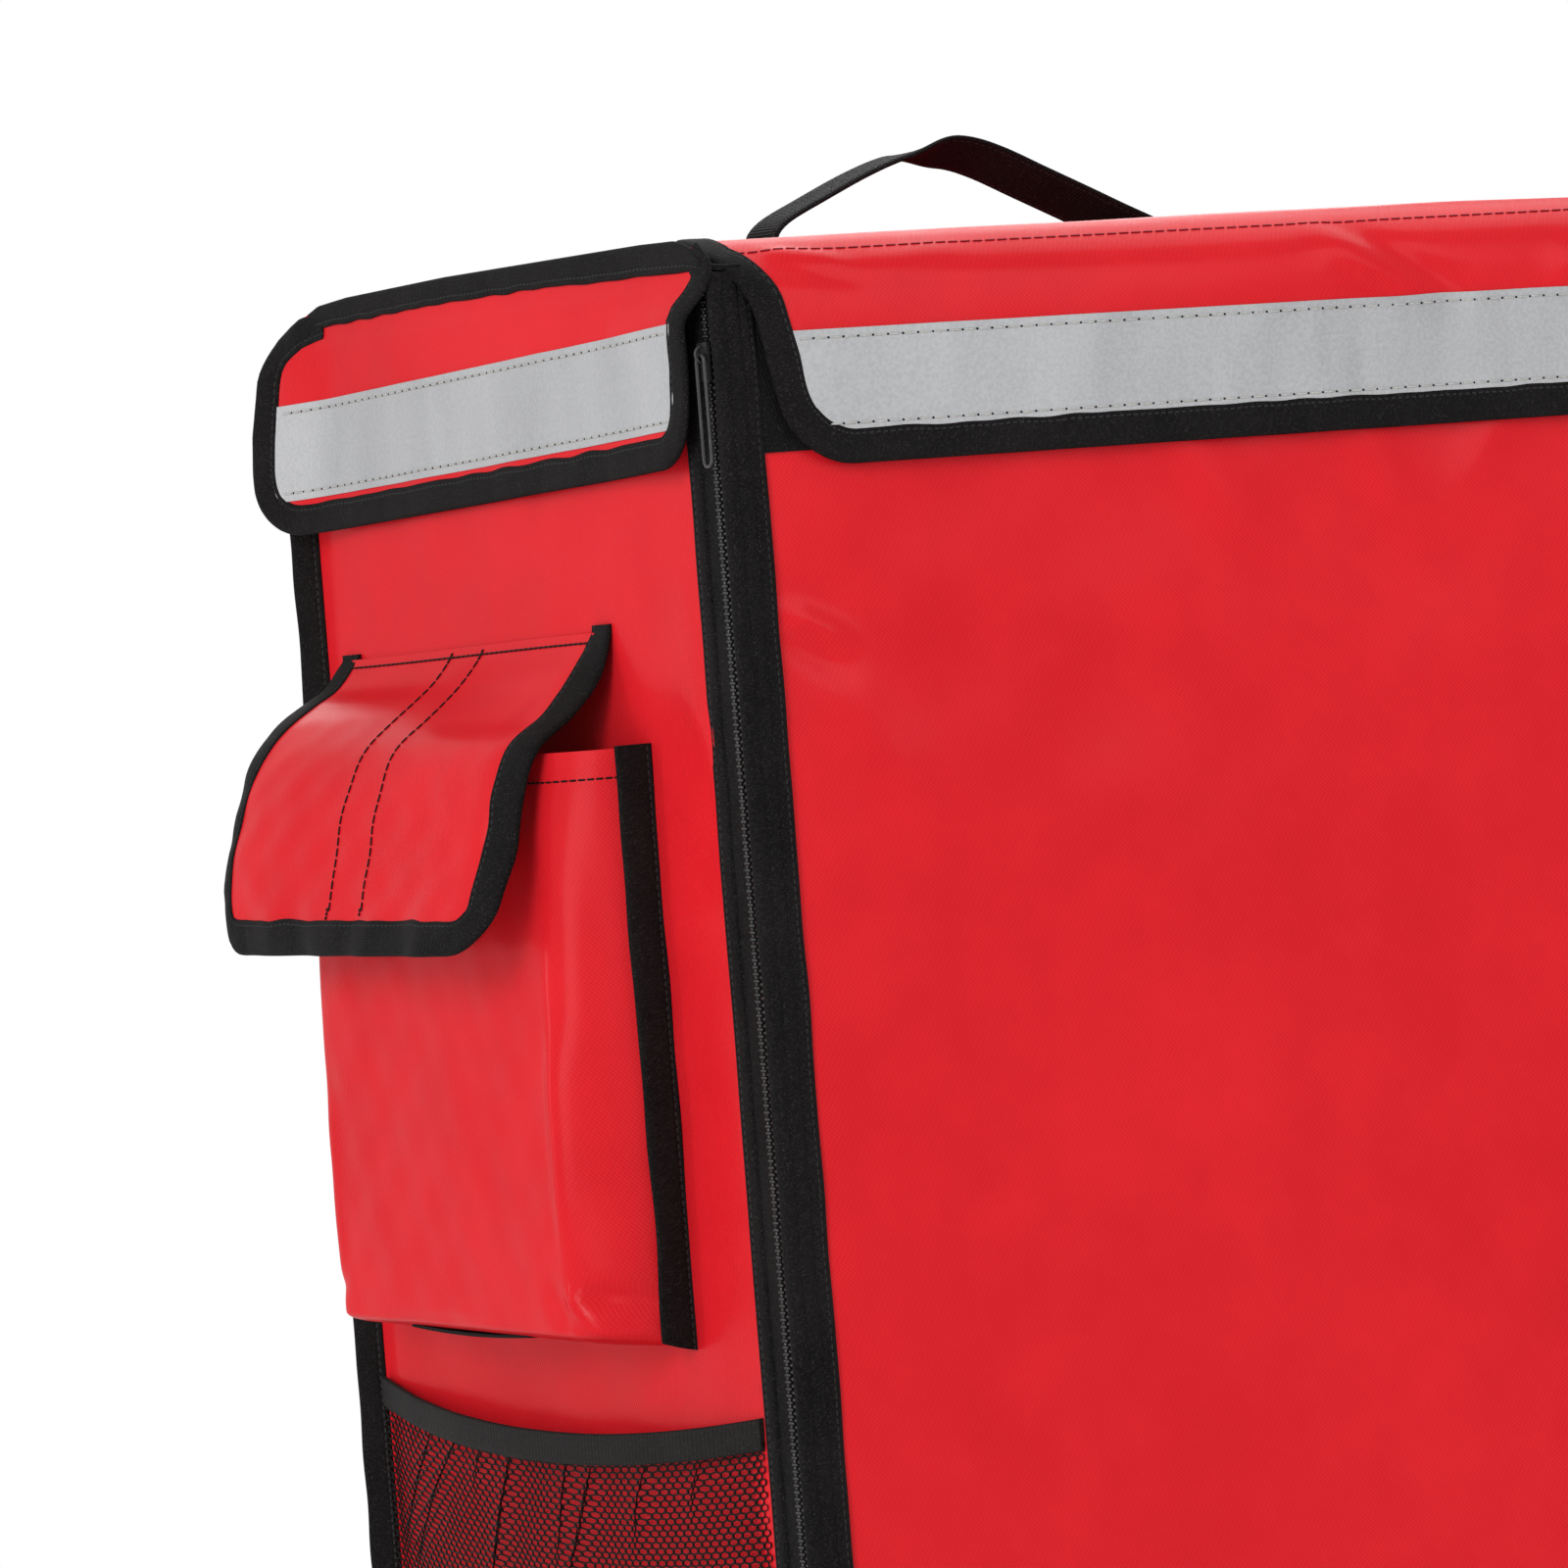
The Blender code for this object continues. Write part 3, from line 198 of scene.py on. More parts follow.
class Look:
    """A material's node tree with short calls for the nodes used here."""

    def __init__(self, name, colour, roughness, coords="UV", **sockets):
        self.material = bpy.data.materials.new(name)
        self.material.use_nodes = True
        self.material.diffuse_color = (*colour, 1)
        self.tree = self.material.node_tree
        self.shader = self.tree.nodes["Principled BSDF"]
        self.shader.inputs["Base Color"].default_value = (*colour, 1)
        self.shader.inputs["Roughness"].default_value = roughness
        for socket, value in sockets.items():
            self.shader.inputs[socket.replace("_", " ")].default_value = value
        source = add_node(self.tree, "TexCoord")
        self.object_coords = source.outputs["Object"]
        self.coords = source.outputs[coords]
        self.normal = None

    def link(self, value, socket):
        if isinstance(value, bpy.types.NodeSocket):
            self.tree.links.new(value, socket)
        else:
            socket.default_value = value

    def math(self, operation, a, b=0.0):
        node = add_node(self.tree, "Math")
        node.operation = operation
        for value, socket in zip((a, b), node.inputs):
            self.link(value, socket)
        return node.outputs[0]

    def axes(self):
        node = add_node(self.tree, "SeparateXYZ")
        self.tree.links.new(self.coords, node.inputs[0])
        return node.outputs[0], node.outputs[1], node.outputs[2]

    def noise(self, scale, detail=2.0, stretch=(1, 1, 1), distortion=0.0):
        mapping = add_node(self.tree, "Mapping", Scale=stretch)
        self.tree.links.new(self.object_coords, mapping.inputs[0])
        node = add_node(self.tree, "TexNoise", Scale=scale, Detail=detail, Distortion=distortion)
        self.tree.links.new(mapping.outputs[0], node.inputs["Vector"])
        return node.outputs[0]

    def voronoi(self, scale, feature="F1"):
        node = add_node(self.tree, "TexVoronoi", Scale=scale)
        node.feature = feature
        self.tree.links.new(self.object_coords, node.inputs["Vector"])
        return node.outputs["Distance"]

    def sine(self, value, pitch):
        return self.math("SINE", self.math("MULTIPLY", value, 2 * math.pi / pitch))

    def span(self, value, low, high, out_low, out_high):
        node = add_node(self.tree, "MapRange")
        self.link(value, node.inputs[0])
        for number, share in enumerate((low, high, out_low, out_high)):
            node.inputs[number + 1].default_value = share
        return node.outputs[0]

    def mix(self, factor, a, b):
        node = add_node(self.tree, "Mix")
        node.data_type = "RGBA"
        self.link(factor, node.inputs[0])
        for value, number in ((a, 6), (b, 7)):
            if isinstance(value, tuple):
                value = (*value, 1)
            self.link(value, node.inputs[number])
        return node.outputs[2]

    def colour(self, value):
        self.tree.links.new(value, self.shader.inputs["Base Color"])

    def roughness(self, value):
        self.tree.links.new(value, self.shader.inputs["Roughness"])

    def bump(self, height, distance, strength=1.0):
        node = add_node(self.tree, "Bump", Strength=strength, Distance=distance)
        self.tree.links.new(height, node.inputs["Height"])
        if self.normal is not None:
            self.tree.links.new(self.normal, node.inputs["Normal"])
        self.normal = node.outputs[0]
        self.tree.links.new(self.normal, self.shader.inputs["Normal"])


def tarpaulin():
    """Glossy coated cloth: the weave shows through the coating as fine diagonal bumps."""
    look = Look("red_tarpaulin", (0.62, 0.006, 0.012), 0.34, Coat_Weight=0.16,
                Coat_Roughness=0.21, Specular_IOR_Level=0.01)
    u, v, _ = look.axes()
    rows = look.sine(look.math("ADD", u, v), 0.0017)
    columns = look.sine(look.math("SUBTRACT", u, look.math("MULTIPLY", v, 0.6)), 0.0021)
    weave = look.math("ADD", look.math("MULTIPLY", rows, 0.6), look.math("MULTIPLY", columns, 0.4))
    broad = look.noise(7, 3)
    cloudy = look.noise(34, 4)
    grain = look.noise(1500, 2)
    tone = look.math("ADD", look.span(broad, 0.3, 0.7, 0, 0.6), look.span(cloudy, 0.3, 0.7, 0, 0.4))
    base = look.mix(tone, (0.55, 0.0060, 0.0115), (0.68, 0.0120, 0.0190))
    base = look.mix(look.span(weave, -1, 1, 0.0, 0.20), base, (0.82, 0.040, 0.052))
    look.colour(base)
    worn = look.math("ADD", look.span(cloudy, 0.25, 0.75, 0.36, 0.48),
                     look.span(grain, 0.3, 0.7, -0.03, 0.05))
    look.roughness(worn)
    look.bump(look.noise(15, 2), 0.0014, 0.30)
    look.bump(weave, 0.00008, 0.65)
    look.bump(grain, 0.00005, 0.30)
    return look.material


def fabric(name, dark, light, rib, rib_depth, twill, roughness=0.74, sheen=0.015, stitch=True,
           stitch_place=0.0030):
    """Woven black tape. u runs along the tape and v is the distance from its stitched edge."""
    look = Look(name, dark, roughness, Sheen_Weight=sheen, Sheen_Roughness=0.45,
                Sheen_Tint=(0.55, 0.55, 0.58, 1), Specular_IOR_Level=0.06)
    u, v, _ = look.axes()
    slant = look.math("ADD", u, look.math("MULTIPLY", v, twill))
    ribs = look.sine(slant, rib)
    cross = look.sine(v, rib * 1.3)
    weave = look.math("MULTIPLY", ribs, look.span(cross, -1, 1, 0.55, 1.0))
    lint = look.noise(900, 3)
    patches = look.noise(26, 3)
    tone = look.math("ADD", look.span(lint, 0.42, 0.72, 0, 0.7), look.span(patches, 0.35, 0.7, 0, 0.35))
    base = look.mix(tone, dark, light)
    base = look.mix(look.span(weave, 0.1, 1, 0, 0.35), base, light)
    fleck = look.span(look.noise(1500, 2), 0.58, 0.70, 0, 0.40)
    base = look.mix(fleck, base, (0.060, 0.058, 0.057))
    if stitch:
        line = look.math("ABSOLUTE", look.math("SUBTRACT", v, stitch_place))
        on_line = look.span(line, 0.00022, 0.00045, 1, 0)
        dash = look.span(look.sine(u, STITCH), -0.45, -0.25, 0, 1)
        thread = look.math("MULTIPLY", on_line, dash)
        base = look.mix(look.math("MULTIPLY", thread, 0.6), base, (0.045, 0.045, 0.047))
        groove = look.span(line, 0.0002, 0.0012, 0, 1)
        look.bump(groove, 0.00045, 0.8)
        look.bump(thread, 0.00035, 0.8)
    look.colour(base)
    look.roughness(look.span(lint, 0.3, 0.7, roughness - 0.08, roughness + 0.12))
    look.bump(weave, rib_depth, 0.7)
    look.bump(look.noise(420, 3), 0.00012, 0.5)
    return look.material


def reflective():
    """Grey glass-bead tape: even, slightly metallic, with a grain and faint ripples."""
    look = Look("reflective_strip", (0.40, 0.41, 0.44), 0.46, Metallic=0.25,
                Specular_IOR_Level=0.5, Sheen_Weight=0.2, Sheen_Roughness=0.4)
    beads = look.voronoi(2600)
    patches = look.noise(30, 3, stretch=(1, 1, 0.25))
    fine = look.noise(700, 2)
    tone = look.math("ADD", look.span(patches, 0.3, 0.7, 0, 0.6), look.span(fine, 0.35, 0.65, 0, 0.4))
    look.colour(look.mix(tone, (0.31, 0.315, 0.325), (0.43, 0.435, 0.445)))
    look.roughness(look.span(patches, 0.3, 0.7, 0.40, 0.54))
    look.bump(look.noise(60, 2, stretch=(1, 1, 0.15)), 0.0010, 0.35)
    look.bump(beads, 0.00006, 0.5)
    return look.material


def thread(name, colour):
    look = Look(name, colour, 0.6, coords="Object", Specular_IOR_Level=0.08)
    twist = look.noise(2400, 2, stretch=(1, 1, 1))
    darker = tuple(c * 0.55 for c in colour)
    look.colour(look.mix(look.span(twist, 0.35, 0.65, 0, 1), darker, colour))
    look.bump(twist, 0.00008, 0.6)
    return look.material


def foil():
    """Bonded metal film: bright, with crinkles and a faint quilted print of the foam."""
    look = Look("foil_lining", (0.80, 0.81, 0.83), 0.26, coords="Object", Metallic=0.92)
    crinkle = look.voronoi(42, "DISTANCE_TO_EDGE")
    creases = look.noise(60, 5, distortion=1.2)
    look.colour(look.mix(creases, (0.70, 0.71, 0.73), (0.88, 0.89, 0.91)))
    look.roughness(look.span(creases, 0.3, 0.7, 0.18, 0.40))
    look.bump(look.span(crinkle, 0, 0.25, 0, 1), 0.0009, 0.45)
    look.bump(creases, 0.0016, 0.5)
    return look.material


def foam(name, colour):
    look = Look(name, colour, 0.88, coords="Object", Subsurface_Weight=0.0)
    cells = look.voronoi(900)
    patches = look.noise(18, 3)
    shade = tuple(c * 0.82 for c in colour)
    look.colour(look.mix(look.span(patches, 0.3, 0.7, 0, 1), shade, colour))
    look.roughness(look.span(cells, 0, 0.6, 0.80, 0.95))
    look.bump(cells, 0.0003, 0.6)
    look.bump(patches, 0.0008, 0.3)
    return look.material


def air_mesh():
    """Spacer fabric: small round holes in offset rows over a soft body, the holes coloured near black as
    painted shade.
    """
    look = Look("black_air_mesh", (0.016, 0.016, 0.018), 0.85, coords="Object",
                Sheen_Weight=0.45, Sheen_Roughness=0.5, Sheen_Tint=(0.6, 0.6, 0.63, 1))
    x, _, z = look.axes()
    a = look.sine(look.math("ADD", x, look.math("MULTIPLY", z, 0.6)), 0.0034)
    b = look.sine(look.math("SUBTRACT", x, look.math("MULTIPLY", z, 0.6)), 0.0034)
    holes = look.math("MULTIPLY", a, b)
    hole_and_painted_shade = look.span(holes, 0.25, 0.7, 0, 1)
    dust = look.noise(500, 3)
    base = look.mix(look.span(dust, 0.35, 0.7, 0, 1), (0.018, 0.018, 0.020), (0.045, 0.045, 0.048))
    # The holes are painted near black: painted shade inside them, over the same black fabric
    look.colour(look.mix(hole_and_painted_shade, base, (0.004, 0.004, 0.004)))
    look.roughness(look.span(dust, 0.3, 0.7, 0.78, 0.95))
    look.bump(look.math("SUBTRACT", 1.0, hole_and_painted_shade), 0.0009, 0.9)
    look.bump(dust, 0.0002, 0.5)
    return look.material


def moulded(name, colour, roughness, metallic=0.0):
    look = Look(name, colour, roughness, coords="Object", Metallic=metallic)
    grain = look.noise(1100, 3)
    scuffs = look.noise(120, 4, distortion=0.8)
    lighter = tuple(min(1.0, c * 2.6 + 0.01) for c in colour)
    look.colour(look.mix(look.span(scuffs, 0.55, 0.8, 0, 0.6), colour, lighter))
    look.roughness(look.span(scuffs, 0.3, 0.8, roughness - 0.04, roughness + 0.14))
    look.bump(grain, 0.00006, 0.5)
    return look.material


RED = tarpaulin()
BINDING = fabric("black_binding", (0.0028, 0.0024, 0.0024), (0.015, 0.0135, 0.0135), 0.00085, 0.00018,
                 twill=0.45)
WEBBING = fabric("black_webbing", (0.0032, 0.0029, 0.0031), (0.013, 0.012, 0.013), 0.0014, 0.00028,
                 twill=0.0, stitch_place=0.0022)
TAPE = fabric("zip_tape_cloth", (0.0035, 0.0032, 0.0032), (0.014, 0.013, 0.013), 0.0011, 0.00018,
              twill=0.9, stitch=False)
ELASTIC = fabric("elastic_binding", (0.0065, 0.0058, 0.0055), (0.017, 0.016, 0.015), 0.0026, 0.00005,
                 twill=0.0, roughness=0.60, stitch=False)
LOOPS = fabric("loop_tape", (0.0030, 0.0028, 0.0028), (0.010, 0.0095, 0.0095), 0.0014, 0.00035,
               twill=0.35, roughness=0.92, sheen=0.08, stitch=False)
NET = thread("black_net", (0.008, 0.006, 0.006))
BLACK_THREAD = thread("black_thread", (0.012, 0.008, 0.008))
PALE_THREAD = thread("pale_thread", (0.56, 0.56, 0.54))
RED_THREAD = thread("dark_red_thread", (0.22, 0.008, 0.016))
SILVER = reflective()
FOIL = foil()
FOAM = foam("insulation_foam", (0.80, 0.80, 0.78))
STIFFENER = foam("base_stiffener", (0.55, 0.55, 0.53))
MESH = air_mesh()
PLASTIC = moulded("black_plastic", (0.008, 0.008, 0.0085), 0.36)
METAL = moulded("painted_zip_metal", (0.050, 0.050, 0.052), 0.28, 0.7)
COIL = moulded("zip_coil", (0.010, 0.009, 0.009), 0.30)


# Shape helpers

def smoothstep(value, low=0.0, high=1.0):
    share = np.clip((value - low) / (high - low), 0, 1)
    return share * share * (3 - 2 * share)


def waves(u, v, size, seed):
    """Smooth, seeded height from about -1 to 1 whose hills are size metres apart."""
    count = 8
    random = np.random.RandomState(seed)
    total = np.zeros(np.broadcast(u, v).shape)
    for _ in range(count):
        angle = random.uniform(0, 2 * math.pi)
        length = size * random.uniform(0.7, 1.7)
        phase = random.uniform(0, 2 * math.pi)
        total += np.sin(2 * math.pi * (u * math.cos(angle) + v * math.sin(angle)) / length + phase)
    return total / (0.6 * count)


def beside_line(u, v, start, end):
    """Places along and across a line in a sheet, and the line's length."""
    du, dv = end[0] - start[0], end[1] - start[1]
    length = math.hypot(du, dv)
    along = ((u - start[0]) * du + (v - start[1]) * dv) / length
    across = (-(u - start[0]) * dv + (v - start[1]) * du) / length
    return along, across, length


def ridge(u, v, start, end, width):
    """Height 1 along a line in the sheet, fading across it and at both ends."""
    along, across, length = beside_line(u, v, start, end)
    fade = smoothstep(along, -0.15 * length, 0.3 * length)
    fade = fade * (1 - smoothstep(along, 0.65 * length, 1.15 * length))
    return np.exp(-(across / width) ** 2) * fade


def with_ridges(out, u, v, rows):
    """Add ridges to a height. Each row is (height, start, end, width)."""
    for height, start, end, width in rows:
        out = out + height * ridge(u, v, start, end, width)
    return out


def normals_of(points):
    across = np.gradient(points, axis=0)
    down = np.gradient(points, axis=1)
    normal = np.cross(across, down)
    return normal / np.maximum(np.linalg.norm(normal, axis=2, keepdims=True), 1e-12)


def unit(vectors):
    return vectors / np.maximum(np.linalg.norm(vectors, axis=-1, keepdims=True), 1e-12)


def lengths(points):
    """Distance along a polyline at each of its points."""
    step = np.linalg.norm(np.diff(points, axis=0), axis=1)
    return np.concatenate([[0], np.cumsum(step)])


def grid(a_low, a_high, columns, b_low, b_high, rows):
    """Two grids of even places, the first changing by column and the second by row."""
    return np.meshgrid(np.linspace(a_low, a_high, columns), np.linspace(b_low, b_high, rows), indexing="ij")


def uv_grid(along, across):
    """UVs of a skin: u is the distance along it and v the place across it."""
    shape = (len(along), len(across))
    return np.stack([np.broadcast_to(along[:, None], shape), np.broadcast_to(across[None], shape)], axis=-1)


def surface_normal(surface, a, b, small):
    """Normal of a surface(a, b), from points a small step apart."""
    return unit(np.cross(surface(a + small, b) - surface(a - small, b),
                         surface(a, b + small) - surface(a, b - small)))


def mesh_object(name, mesh, material, sharp=50):
    mesh.materials.append(material)
    mesh.polygons.foreach_set("use_smooth", [True] * len(mesh.polygons))
    mesh.set_sharp_from_angle(angle=math.radians(sharp))
    obj = bpy.data.objects.new(name, mesh)
    SCENE.collection.objects.link(obj)
    return obj


def make(name, points, faces, uvs, material, sharp=50):
    mesh = bpy.data.meshes.new(name)
    points = np.asarray(points, float)
    mesh.from_pydata(points.tolist(), [], [list(map(int, face)) for face in faces])
    if uvs is not None:
        layer = mesh.uv_layers.new(name="UVMap")
        index = np.zeros(len(mesh.loops), np.int32)
        mesh.loops.foreach_get("vertex_index", index)
        layer.data.foreach_set("uv", np.asarray(uvs, np.float32)[index].ravel())
    bm = bmesh.new()
    bm.from_mesh(mesh)
    bmesh.ops.recalc_face_normals(bm, faces=bm.faces)
    bm.to_mesh(mesh)
    bm.free()
    return mesh_object(name, mesh, material, sharp)


def layers(name, top, bottom, material, u, v, sharp=50):
    """Close two grids of points into one thin form."""
    columns, rows = top.shape[:2]
    count = columns * rows
    index = np.arange(count).reshape(columns, rows)
    rim = np.concatenate([index[:, 0], index[-1, 1:], index[-2::-1, -1], index[0, -2:0:-1]])
    after = np.roll(rim, -1)
    edge = np.stack([rim, rim + count, after + count, after], axis=1)
    faces = np.concatenate([grid_faces(columns, rows), grid_faces(columns, rows, count, True), edge])
    uvs = np.stack([u.ravel(), v.ravel()], axis=1)
    points = np.concatenate([top.reshape(-1, 3), bottom.reshape(-1, 3)])
    return make(name, points, faces, np.concatenate([uvs, uvs]), material, sharp)


def grid_faces(columns, rows, start=0, flip=False):
    i, j = np.meshgrid(np.arange(columns - 1), np.arange(rows - 1), indexing="ij")
    corner = (start + i * rows + j).ravel()
    quads = np.stack([corner, corner + rows, corner + rows + 1, corner + 1], axis=1)
    return quads[:, ::-1] if flip else quads


def cloth(name, points, thickness, material, u=None, v=None):
    """Make a closed thin sheet round a grid of points, with UVs in metres."""
    columns, rows = points.shape[:2]
    if u is None:
        step = np.linalg.norm(np.diff(points, axis=0), axis=2).mean(axis=1)
        u = np.concatenate([[0], np.cumsum(step)])[:, None] + np.zeros((columns, rows))
    if v is None:
        step = np.linalg.norm(np.diff(points, axis=1), axis=2).mean(axis=0)
        v = np.concatenate([[0], np.cumsum(step)])[None, :] + np.zeros((columns, rows))
    normal = normals_of(points)
    return layers(name, points + normal * thickness / 2, points - normal * thickness / 2, material, u, v)


def resample(points, spacing):
    """Return evenly spaced points along a polyline."""
    points = np.asarray(points, float)
    distance = lengths(points)
    count = max(2, int(round(distance[-1] / spacing)) + 1)
    marks = np.linspace(0, distance[-1], count)
    return np.stack([np.interp(marks, distance, points[:, k]) for k in range(points.shape[1])], axis=1)


def spline(points, steps=12):
    """Return a smooth curve through the points (Catmull-Rom)."""
    points = np.asarray(points, float)
    padded = np.concatenate([[2 * points[0] - points[1]], points, [2 * points[-1] - points[-2]]])
    out = []
    for a, b, c, d in zip(padded, padded[1:], padded[2:], padded[3:]):
        for t in np.linspace(0, 1, steps, endpoint=False):
            out.append(0.5 * (2 * b + (c - a) * t + (2 * a - 5 * b + 4 * c - d) * t * t
                              + (3 * b - a - 3 * c + d) * t ** 3))
    out.append(points[-1])
    return np.array(out)


def tube(name, rings, uvs, material, closed_path=False, closed_ring=False, sharp=60):
    """Skin a list of equal rings. rings is (count, ring, 3); uvs is (count, ring, 2)."""
    count, size = rings.shape[:2]
    i = np.arange(count if closed_path else count - 1)
    j = np.arange(size if closed_ring else size - 1)
    i, j = np.meshgrid(i, j, indexing="ij")
    after_i, after_j = (i + 1) % count, (j + 1) % size
    faces = np.stack([i * size + j, after_i * size + j, after_i * size + after_j, i * size + after_j],
                     axis=-1).reshape(-1, 4).tolist()
    if not closed_path:
        faces.append(list(range(size - 1, -1, -1)))
        faces.append([(count - 1) * size + k for k in range(size)])
    return make(name, rings.reshape(-1, 3), faces, uvs.reshape(-1, 2), material, sharp)


def tape_profile(width, thickness):
    """Half-open outline of a folded tape: (inward distance, height, distance from the stitched edge)."""
    half = thickness / 2
    top = [(width, 0.15), (width - 0.0001, 0.55), (width - 0.0005, 0.84), (width - 0.0014, 0.96),
           (width - 0.0024, 0.86), (width - 0.0036, 0.97), (width * 0.52, 1.0), (width * 0.27, 0.98),
           (0.0016, 0.88), (0.0006, 0.62), (0.0001, 0.28)]
    ring = [(s, h * half) for s, h in top] + [(0.0, 0.0)] + [(s, -h * half) for s, h in reversed(top)]
    ring = np.array(ring)
    length = lengths(ring)
    return ring, np.minimum(length, length[-1] - length)


def edge_tape(name, surface, route, width, thickness, seed, curl=0.0):
    """Fold a tape over the edge of a surface(a, b). route is the tape's outer edge in (a, b)."""
    route = resample(route, 0.0025)
    tangent = unit(np.gradient(route, axis=0))
    inward = np.stack([tangent[:, 1], -tangent[:, 0]], axis=1)
    ring, edge = tape_profile(width, thickness)
    distance = lengths(route)
    wander = waves(distance, 0, 0.022, seed) * 0.0005
    gather = waves(distance, 0, 0.009, seed + 1) * 0.00025
    shares = ring[:, 0] / width
    s = ring[None, :, 0] + wander[:, None] * shares[None, :]
    a = route[:, None, 0] + inward[:, None, 0] * s
    b = route[:, None, 1] + inward[:, None, 1] * s
    normal = surface_normal(surface, a, b, 0.0006)
    swell = 1 + 0.10 * waves(distance, 0, 0.013, seed + 2)
    height = ring[None, :, 1] * swell[:, None] + gather[:, None] * np.sin(np.pi * shares)[None, :]
    near_end = 1 - smoothstep(np.minimum(distance, distance[-1] - distance), 0.0, 0.009)
    height = height + curl * near_end[:, None] * (0.4 + 0.6 * shares[None, :])
    rings = surface(a, b) + normal * height[..., None]
    return tube(name, rings, uv_grid(distance, edge), BINDING)


class Bits:
    """Many small closed shapes gathered in one mesh."""

    def __init__(self):
        self.points, self.faces, self.count = [], [], 0

    def capsule(self, start, end, radius, up=None, flat=1.0, sides=6):
        start, end = np.asarray(start, float), np.asarray(end, float)
        axis = end - start
        length = np.linalg.norm(axis)
        axis = axis / max(length, 1e-9)
        if up is None:
            up = np.array([0, 0, 1.0]) if abs(axis[2]) < 0.9 else np.array([1.0, 0, 0])
        side = np.cross(axis, up)
        side = side / max(np.linalg.norm(side), 1e-9)
        lift = np.cross(side, axis)
        turn = np.linspace(0, 2 * math.pi, sides, endpoint=False)
        circle = np.cos(turn)[:, None] * side + np.sin(turn)[:, None] * lift * flat
        cap = min(radius, length * 0.3)
        rings = [(0.0, 0.35), (cap, 1.0), (length - cap, 1.0), (length, 0.35)]
        base = self.count
        for place, share in rings:
            self.points.append(start + axis * place + circle * radius * share)
        self.count += 4 * sides
        for ring in range(3):
            for k in range(sides):
                a = base + ring * sides + k
                b = base + ring * sides + (k + 1) % sides
                self.faces.append((a, b, b + sides, a + sides))
        self.faces.append(tuple(base + k for k in range(sides - 1, -1, -1)))
        self.faces.append(tuple(base + 3 * sides + k for k in range(sides)))

    def stitches(self, path, normal, pitch=STITCH, share=0.72, radius=0.00028):
        """Lay stitches along a 3-D path; normal is one vector per path point."""
        path, normal = np.asarray(path, float), unit(np.asarray(normal, float))
        distance, lift = lengths(path), 0.00012

        def at(place, values):
            return np.array([np.interp(place, distance, values[:, k]) for k in range(3)])

        for number in range(int(distance[-1] / pitch)):
            low = (number + (1 - share) / 2) * pitch
            high = low + share * pitch
            up = at((low + high) / 2, normal)
            self.capsule(at(low, path) + up * lift, at(high, path) + up * lift, radius, up=up, flat=0.7)

    def build(self, name, material):
        points = np.concatenate(self.points)
        return make(name, points, self.faces, points[:, :2], material, 70)


def finish_piece(obj, body, slot, *nodes):
    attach(obj, body)
    if nodes:
        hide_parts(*nodes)
    return obj


def mirrored(obj, name):
    """Return a copy of a piece mirrored across the bag's middle."""
    copy = obj.copy()
    copy.data = obj.data.copy()
    copy.name = name
    copy.data.name = name
    SCENE.collection.objects.link(copy)
    copy.data.transform(Matrix.Scale(-1, 4, (1, 0, 0)))
    copy.data.flip_normals()
    return copy


def slab(name, low, high, material, seed):
    """Make a board with softened edges and a slightly uneven face."""
    mesh = bpy.data.meshes.new(name)
    bm = bmesh.new()
    bmesh.ops.create_cube(bm, size=1.0)
    low, high = Vector(low), Vector(high)
    size, middle = high - low, (high + low) / 2
    for vertex in bm.verts:
        vertex.co = Vector(a * b for a, b in zip(vertex.co, size)) + middle
    edge = min(0.0012, min(size) * 0.45)
    bmesh.ops.bevel(bm, geom=bm.edges[:], offset=edge, segments=2, affect="EDGES", profile=0.5)
    long_edges = [e for e in bm.edges if e.calc_length() > 0.05]
    bmesh.ops.subdivide_edges(bm, edges=long_edges, cuts=10, use_grid_fill=True)
    points = np.array([v.co for v in bm.verts])
    shift = np.stack([waves(points[:, (k + 1) % 3], points[:, (k + 2) % 3], 0.09, seed + k)
                      for k in range(3)], axis=1) * 0.0003
    for vertex, move in zip(bm.verts, shift):
        vertex.co += Vector(move)
    bm.to_mesh(mesh)
    bm.free()
    return mesh_object(name, mesh, material)


# Shell walls

def wall_dents(y, z, seed):
    """Soft outward swell of a side wall, in metres."""
    swell = 0.0010 * (1 + waves(y, z, 0.16, seed)) + 0.0005 * waves(y, z, 0.05, seed + 5)
    near_zip = smoothstep(-y, 0.10, 0.16)
    swell = with_ridges(swell, y, z, (
        (0.0009 * near_zip, (-0.13, 0.50), (-0.155, 0.40), 0.010),
        (0.0009 * near_zip, (-0.12, 0.46), (-0.15, 0.43), 0.006)))
    edge = smoothstep(y, -0.1663, -0.150) * smoothstep(-y, -0.176, -0.160)
    return np.maximum(swell, 0) * edge * smoothstep(z, 0.01, 0.03) * smoothstep(-z, -0.5989, -0.585)


def side_wall(side, seed):
    y, z = grid(-0.1663, 0.1765, 90, 0.0015, RIM, 150)
    x = -(0.2044 + wall_dents(y, z, seed))
    points = np.stack([x, y, z], axis=-1)
    if side < 0:
        return cloth("left_wall_cloth", points[::-1], 0.0012, RED, y[::-1], z[::-1])
    points[..., 0] *= -1
    return cloth("right_wall_cloth", points, 0.0012, RED, y, z)


